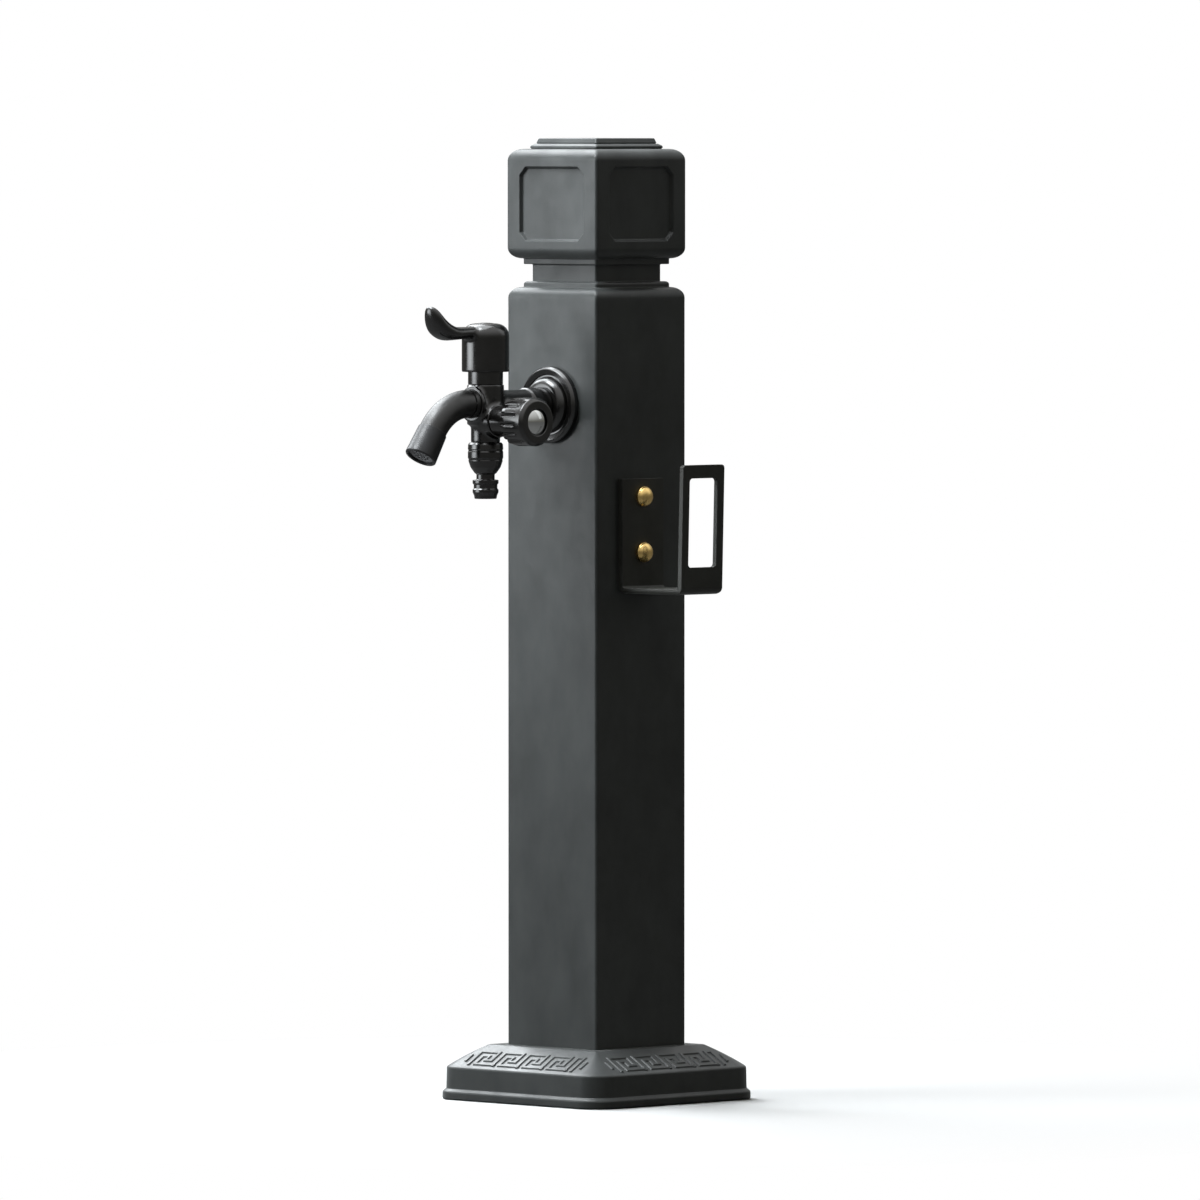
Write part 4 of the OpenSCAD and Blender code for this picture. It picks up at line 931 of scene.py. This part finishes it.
class STANDPIPE_OT_knob(bpy.types.Operator):
    """Build the side valve's fluted knob and its button"""

    bl_idname = "standpipe.knob"
    bl_label = "Side knob"

    def execute(self, context):
        sizes = context.scene.standpipe_tap
        start, finish = KNOB_LOW.x, KNOB_HIGH.x
        r = (KNOB_HIGH.z - KNOB_LOW.z) / 2
        inner, back, rim, seat, stem = r - 3.6 * MM, start + 14 * MM, 10.7 * MM, finish - 3.4 * MM, 4 * MM
        outline = [
            (inner, start, 0.6 * MM), (r - 0.8 * MM, start, 1.2 * MM), (r, start + 5 * MM, 3 * MM),
            (r, finish - 2.6 * MM, 1.6 * MM), (r - 2.4 * MM, finish, 1.6 * MM), (rim, finish, 0.5 * MM),
            (rim, seat, 0), (stem, seat, 0), (stem, back, 0), (inner, back, 1 * MM),
        ]
        centre = Vector((0, TAP_Y, SIDE_Z))
        count = sizes.flutes * 20
        flute_end, flute_depth, skin = finish - 7 * MM, 1.7 * MM, 2.0 * MM
        loops = []
        for radius, x in dense_profile(rounded(outline, 6, closed=True)):
            loop = []
            for k in range(count):
                a = math.tau * k / count
                wave = (0.5 + 0.5 * math.cos(sizes.flutes * a)) ** 4
                deep = flute_depth * wave * flute_fade(x, flute_end) if radius > r - skin else 0
                grip = radius - deep
                loop.append(centre + Vector((x, grip * math.sin(a), grip * math.cos(a))))
            loops.append(loop)
        knob = lofted("side_knob_look", loops, 40, wrap=True)
        keep(knob, "handle_black", "side_knob", body="knob")
        sag = 3.0 * MM
        face = BUTTON_HIGH.x - 0.2 * MM - sag
        edge = (BUTTON_HIGH.z - BUTTON_LOW.z) / 2
        ball = (edge * edge + sag * sag) / (2 * sag)
        tilt = math.asin(edge / ball)
        steps = 12
        turns = [tilt * (1 - k / steps) for k in range(steps + 1)]
        dome = [(ball * math.sin(a), face + sag - ball * (1 - math.cos(a))) for a in turns]
        profile = [(0, BUTTON_LOW.x), (edge, BUTTON_LOW.x)] + dome
        turn = Matrix.Translation(centre) @ Matrix.Rotation(math.radians(90), 4, "Y")
        button = lofted("knob_button_look", turned_loops(profile, turn, 64))
        keep(button, "button_chrome", "knob_button", body="knob")
        return {"FINISHED"}


class STANDPIPE_OT_nipple(bpy.types.Operator):
    """Build the lower outlet's hose nipple"""

    bl_idname = "standpipe.nipple"
    bl_label = "Hose nipple"

    def execute(self, context):
        low, high = NIPPLE_LOW.z - TAP_Z, NIPPLE_HIGH.z - TAP_Z
        top, foot = high / MM, low / MM
        outline = [
            (5.2, top, 0), (12.6, top, 0.6), (13.7, top - 1.6, 0.8), (13.9, top - 5.2, 0.6),
            (13.5, top - 5.8, 0.4), (13.5, top - 6.6, 0.4), (13.9, top - 7.5, 0.6), (13.9, top - 12.2, 1.5),
            (13.4, top - 12.9, 0.4), (13.3, top - 13.7, 0.4), (13.5, top - 14.4, 1.0), (11.8, top - 19.5, 5),
            (8.6, top - 24, 1.0), (7.2, top - 25, 0.6), (7.2, top - 29, 0.6), (10.2, top - 29.4, 0.5),
            (10.2, top - 32, 0.8), (9.3, top - 33, 0.6), (9.3, top - 36, 0.6), (10.2, top - 37, 0.8),
            (10.2, top - 39, 0.8), (9.0, foot + 2.5, 1.0), (8.7, foot, 0.8), (5.2, foot, 0),
        ]
        loops = turned_loops(rounded(in_mm(outline), 5), Matrix.Translation(TAP))
        nipple = lofted("hose_nipple_look", loops, 45, wrap=True)
        keep(nipple, "tap_black", "hose_nipple")
        return {"FINISHED"}


class STANDPIPE_OT_hook(bpy.types.Operator):
    """Build the hose hook and its cap nuts"""

    bl_idname = "standpipe.hook"
    bl_label = "Hose hook"

    def execute(self, context):
        keep(copy_of("hose_hook", 0.8 * MM), "hook_black", "hose_hook")
        low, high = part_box("hook_cap_nuts")
        wide, deep = (high.y - low.y) / 2, high.x - low.x
        rim, lip, steps = 2.3 * MM, 0.4 * MM, 14
        outline = [(0, 0, 0), (wide, 0, 0.3 * MM), (wide, 2.2 * MM, 0.8 * MM)]
        turns = [math.pi / 2 * k / steps for k in range(1, steps + 1)]
        outline += [((wide - lip) * math.cos(a), rim + (deep - rim) * math.sin(a), 0) for a in turns]
        bm = bmesh.new()
        add_loops(bm, turned_loops(rounded(outline, 4), Matrix.Rotation(math.radians(90), 4, "Y"), 64))
        nut = made("hook_cap_nuts_look", bm)
        start = (low.x, (low.y + high.y) / 2, low.z + wide)
        pitch = (high.z - low.z) - 2 * wide
        repeated(nut, Row_count=2, Row_start=start, Row_step=(0, 0, pitch), Finish=FINISH["nut_brass"])
        smooth(nut, 30)
        keep(nut, "nut_brass", "hook_cap_nuts")
        return {"FINISHED"}


# Each lamp's name, place, target, width and height, power in watts and spread in degrees
LAMPS = [
    ("key softbox", (-0.30, -0.66, 1.60), (0, -0.1, 0.65), (0.6, 0.6), 16, 180),
    ("top softbox", (-0.35, -0.25, 2.15), (0, -0.1, 0.60), (1.4, 1.4), 20, 180),
    ("rim softbox", (-3.00, 0.30, 3.50), (0, 0, 0.50), (3.4, 2.7), 185, 180),
    ("left softbox", (-1.29, -1.91, 0.93), (0, -0.1, 0.86), (1.55, 1.2), 3.5, 60),
    ("right softbox", (0.81, 1.01, 1.30), (0.06, -0.06, 0.50), (0.6, 1.1), 0.9, 180),
    ("foot softbox", (-1.05, 0.12, 0.80), (0, -0.06, 0.03), (0.9, 0.7), 0.75, 44),
]
LAMP_TINT = (0.93, 0.97, 1.0)


def add_camera(scene):
    """A long lens level with the post's upper part, looking at its front edge."""
    camera = bpy.data.objects.new("camera", bpy.data.cameras.new("camera"))
    scene.collection.objects.link(camera)
    camera.data.sensor_width = 36
    camera.data.lens = 420
    camera.data.clip_end = 100
    side = math.sqrt(0.5)
    ahead, across = Vector((-side, side, 0)), Vector((side, side, 0))
    distance, aside, height, dip = 11.067, 0.0028, 0.790, 2.045
    camera.location = -distance * ahead + aside * across + Vector((0, 0, height))
    camera.rotation_euler = (math.radians(90 - dip), 0, math.radians(45))
    scene.camera = camera


def add_floor():
    """A pale round floor that fades into the white ground far from the post."""
    bm = bmesh.new()
    bmesh.ops.create_circle(bm, cap_ends=True, radius=40, segments=96)
    floor = made("floor", bm)
    floor.location.z = -0.5 * MM
    material, tree, base = shader("pale floor", (0.86, 0.86, 0.86), 0.9, specular=0.1)
    fade_from, fade_to = 0.12, 0.75
    place = node(tree, "ShaderNodeTexCoord", output="Object")
    reach = node(tree, "ShaderNodeVectorMath", {0: place}, "Value", "LENGTH")
    fade = ramp(tree, reach, 0.0, 1.0, fade_from, fade_to)
    white = node(tree, "ShaderNodeEmission", {"Color": (1, 1, 1, 1)})
    faded = node(tree, "ShaderNodeMixShader", {"Fac": fade, 1: base.outputs["BSDF"], 2: white})
    bounce = node(tree, "ShaderNodeBsdfDiffuse", {"Color": (0.08, 0.08, 0.08, 1)})
    seen = node(tree, "ShaderNodeMixShader", {"Fac": ray_mask(tree, place), 1: bounce, 2: faded})
    tree.links.new(seen, tree.nodes["Material Output"].inputs["Surface"])
    floor.data.materials.append(material)


def add_world(scene):
    """White behind the object and in its reflections, and a dim even light on it."""
    world = bpy.data.worlds.new("studio")
    scene.world = world
    world.use_nodes = True
    tree = world.node_tree
    dim = tree.nodes["Background"]
    dim.inputs["Color"].default_value = (1.0, 0.92, 0.45, 1)
    dim.inputs["Strength"].default_value = 0.036
    white = node(tree, "ShaderNodeBackground", {"Color": (1, 1, 1, 1)})
    mask = ray_mask(tree, node(tree, "ShaderNodeTexCoord", output="Generated"))
    mixed = node(tree, "ShaderNodeMixShader", {"Fac": mask, 1: dim.outputs["Background"], 2: white})
    tree.links.new(mixed, tree.nodes["World Output"].inputs["Surface"])


def ray_mask(tree, way):
    """1 for what the camera or a clear material sees; reflections see the same white, dimmer low down."""
    unit = node(tree, "ShaderNodeVectorMath", {0: way}, operation="NORMALIZE")
    height = node(tree, "ShaderNodeVectorMath", {0: unit, 1: (0, 0, 1)}, "Value", "DOT_PRODUCT")
    low_white, from_height, to_height = 0.12, 0.05, 0.8
    shade = ramp(tree, height, low_white, 1.0, from_height, to_height)
    glossy = node(tree, "ShaderNodeLightPath", output="Is Glossy Ray")
    value = node(tree, "ShaderNodeMath", {0: glossy, 1: shade}, operation="MULTIPLY")
    for name in ("Is Camera Ray", "Is Transmission Ray"):
        ray = node(tree, "ShaderNodeLightPath", output=name)
        value = node(tree, "ShaderNodeMath", {0: value, 1: ray}, operation="MAXIMUM")
    return value


def add_lamp(scene, name, place, target, size, power, spread):
    """A rectangular softbox aimed at a point, with a grid that narrows its beam to a spread."""
    lamp = bpy.data.lights.new(name, "AREA")
    lamp.shape = "RECTANGLE"
    lamp.size, lamp.size_y = size
    lamp.energy = power
    lamp.spread = math.radians(spread)
    lamp.color = LAMP_TINT
    holder = bpy.data.objects.new(name, lamp)
    holder.location = place
    holder.rotation_euler = (Vector(target) - Vector(place)).to_track_quat("-Z", "Y").to_euler()
    scene.collection.objects.link(holder)


class STANDPIPE_OT_stage(bpy.types.Operator):
    """Set the camera, the floor and the studio light"""

    bl_idname = "standpipe.stage"
    bl_label = "Stage"

    def execute(self, context):
        scene = context.scene
        scene.view_settings.view_transform = "Standard"
        add_camera(scene)
        add_floor()
        add_world(scene)
        for lamp in LAMPS:
            add_lamp(scene, *lamp)
        return {"FINISHED"}


class STANDPIPE_PT_panel(bpy.types.Panel):
    """Lists the standpipe's pieces in the sidebar"""

    bl_idname = "STANDPIPE_PT_panel"
    bl_label = "Garden standpipe"
    bl_space_type = "VIEW_3D"
    bl_region_type = "UI"
    bl_category = "Standpipe"

    def draw(self, context):
        for step in STEPS:
            self.layout.operator(step.bl_idname)
        for name in GROUPS:
            group = getattr(context.scene, name)
            column = self.layout.column(heading=name)
            for key in group.__annotations__:
                column.prop(group, key)


GROUPS = {
    "standpipe_post": PostSizes,
    "standpipe_head": HeadSizes,
    "standpipe_tap": TapSizes,
    "standpipe_finishes": Finishes,
}
STEPS = [
    STANDPIPE_OT_finishes, STANDPIPE_OT_stage, STANDPIPE_OT_post, STANDPIPE_OT_shoe, STANDPIPE_OT_key,
    STANDPIPE_OT_head, STANDPIPE_OT_lid, STANDPIPE_OT_wall_flange, STANDPIPE_OT_tap_body, STANDPIPE_OT_spout,
    STANDPIPE_OT_bonnets, STANDPIPE_OT_lever, STANDPIPE_OT_knob, STANDPIPE_OT_nipple, STANDPIPE_OT_hook,
]
CLASSES = [*GROUPS.values(), *STEPS, STANDPIPE_PT_panel]


def register():
    for cls in CLASSES:
        bpy.utils.register_class(cls)
    for name, group in GROUPS.items():
        setattr(bpy.types.Scene, name, PointerProperty(type=group))


def unregister():
    for name in GROUPS:
        delattr(bpy.types.Scene, name)
    for cls in reversed(CLASSES):
        bpy.utils.unregister_class(cls)


def main():
    register()
    for step in STEPS:
        area, name = step.bl_idname.split(".")
        getattr(getattr(bpy.ops, area), name)()


if __name__ == "__main__":
    main()
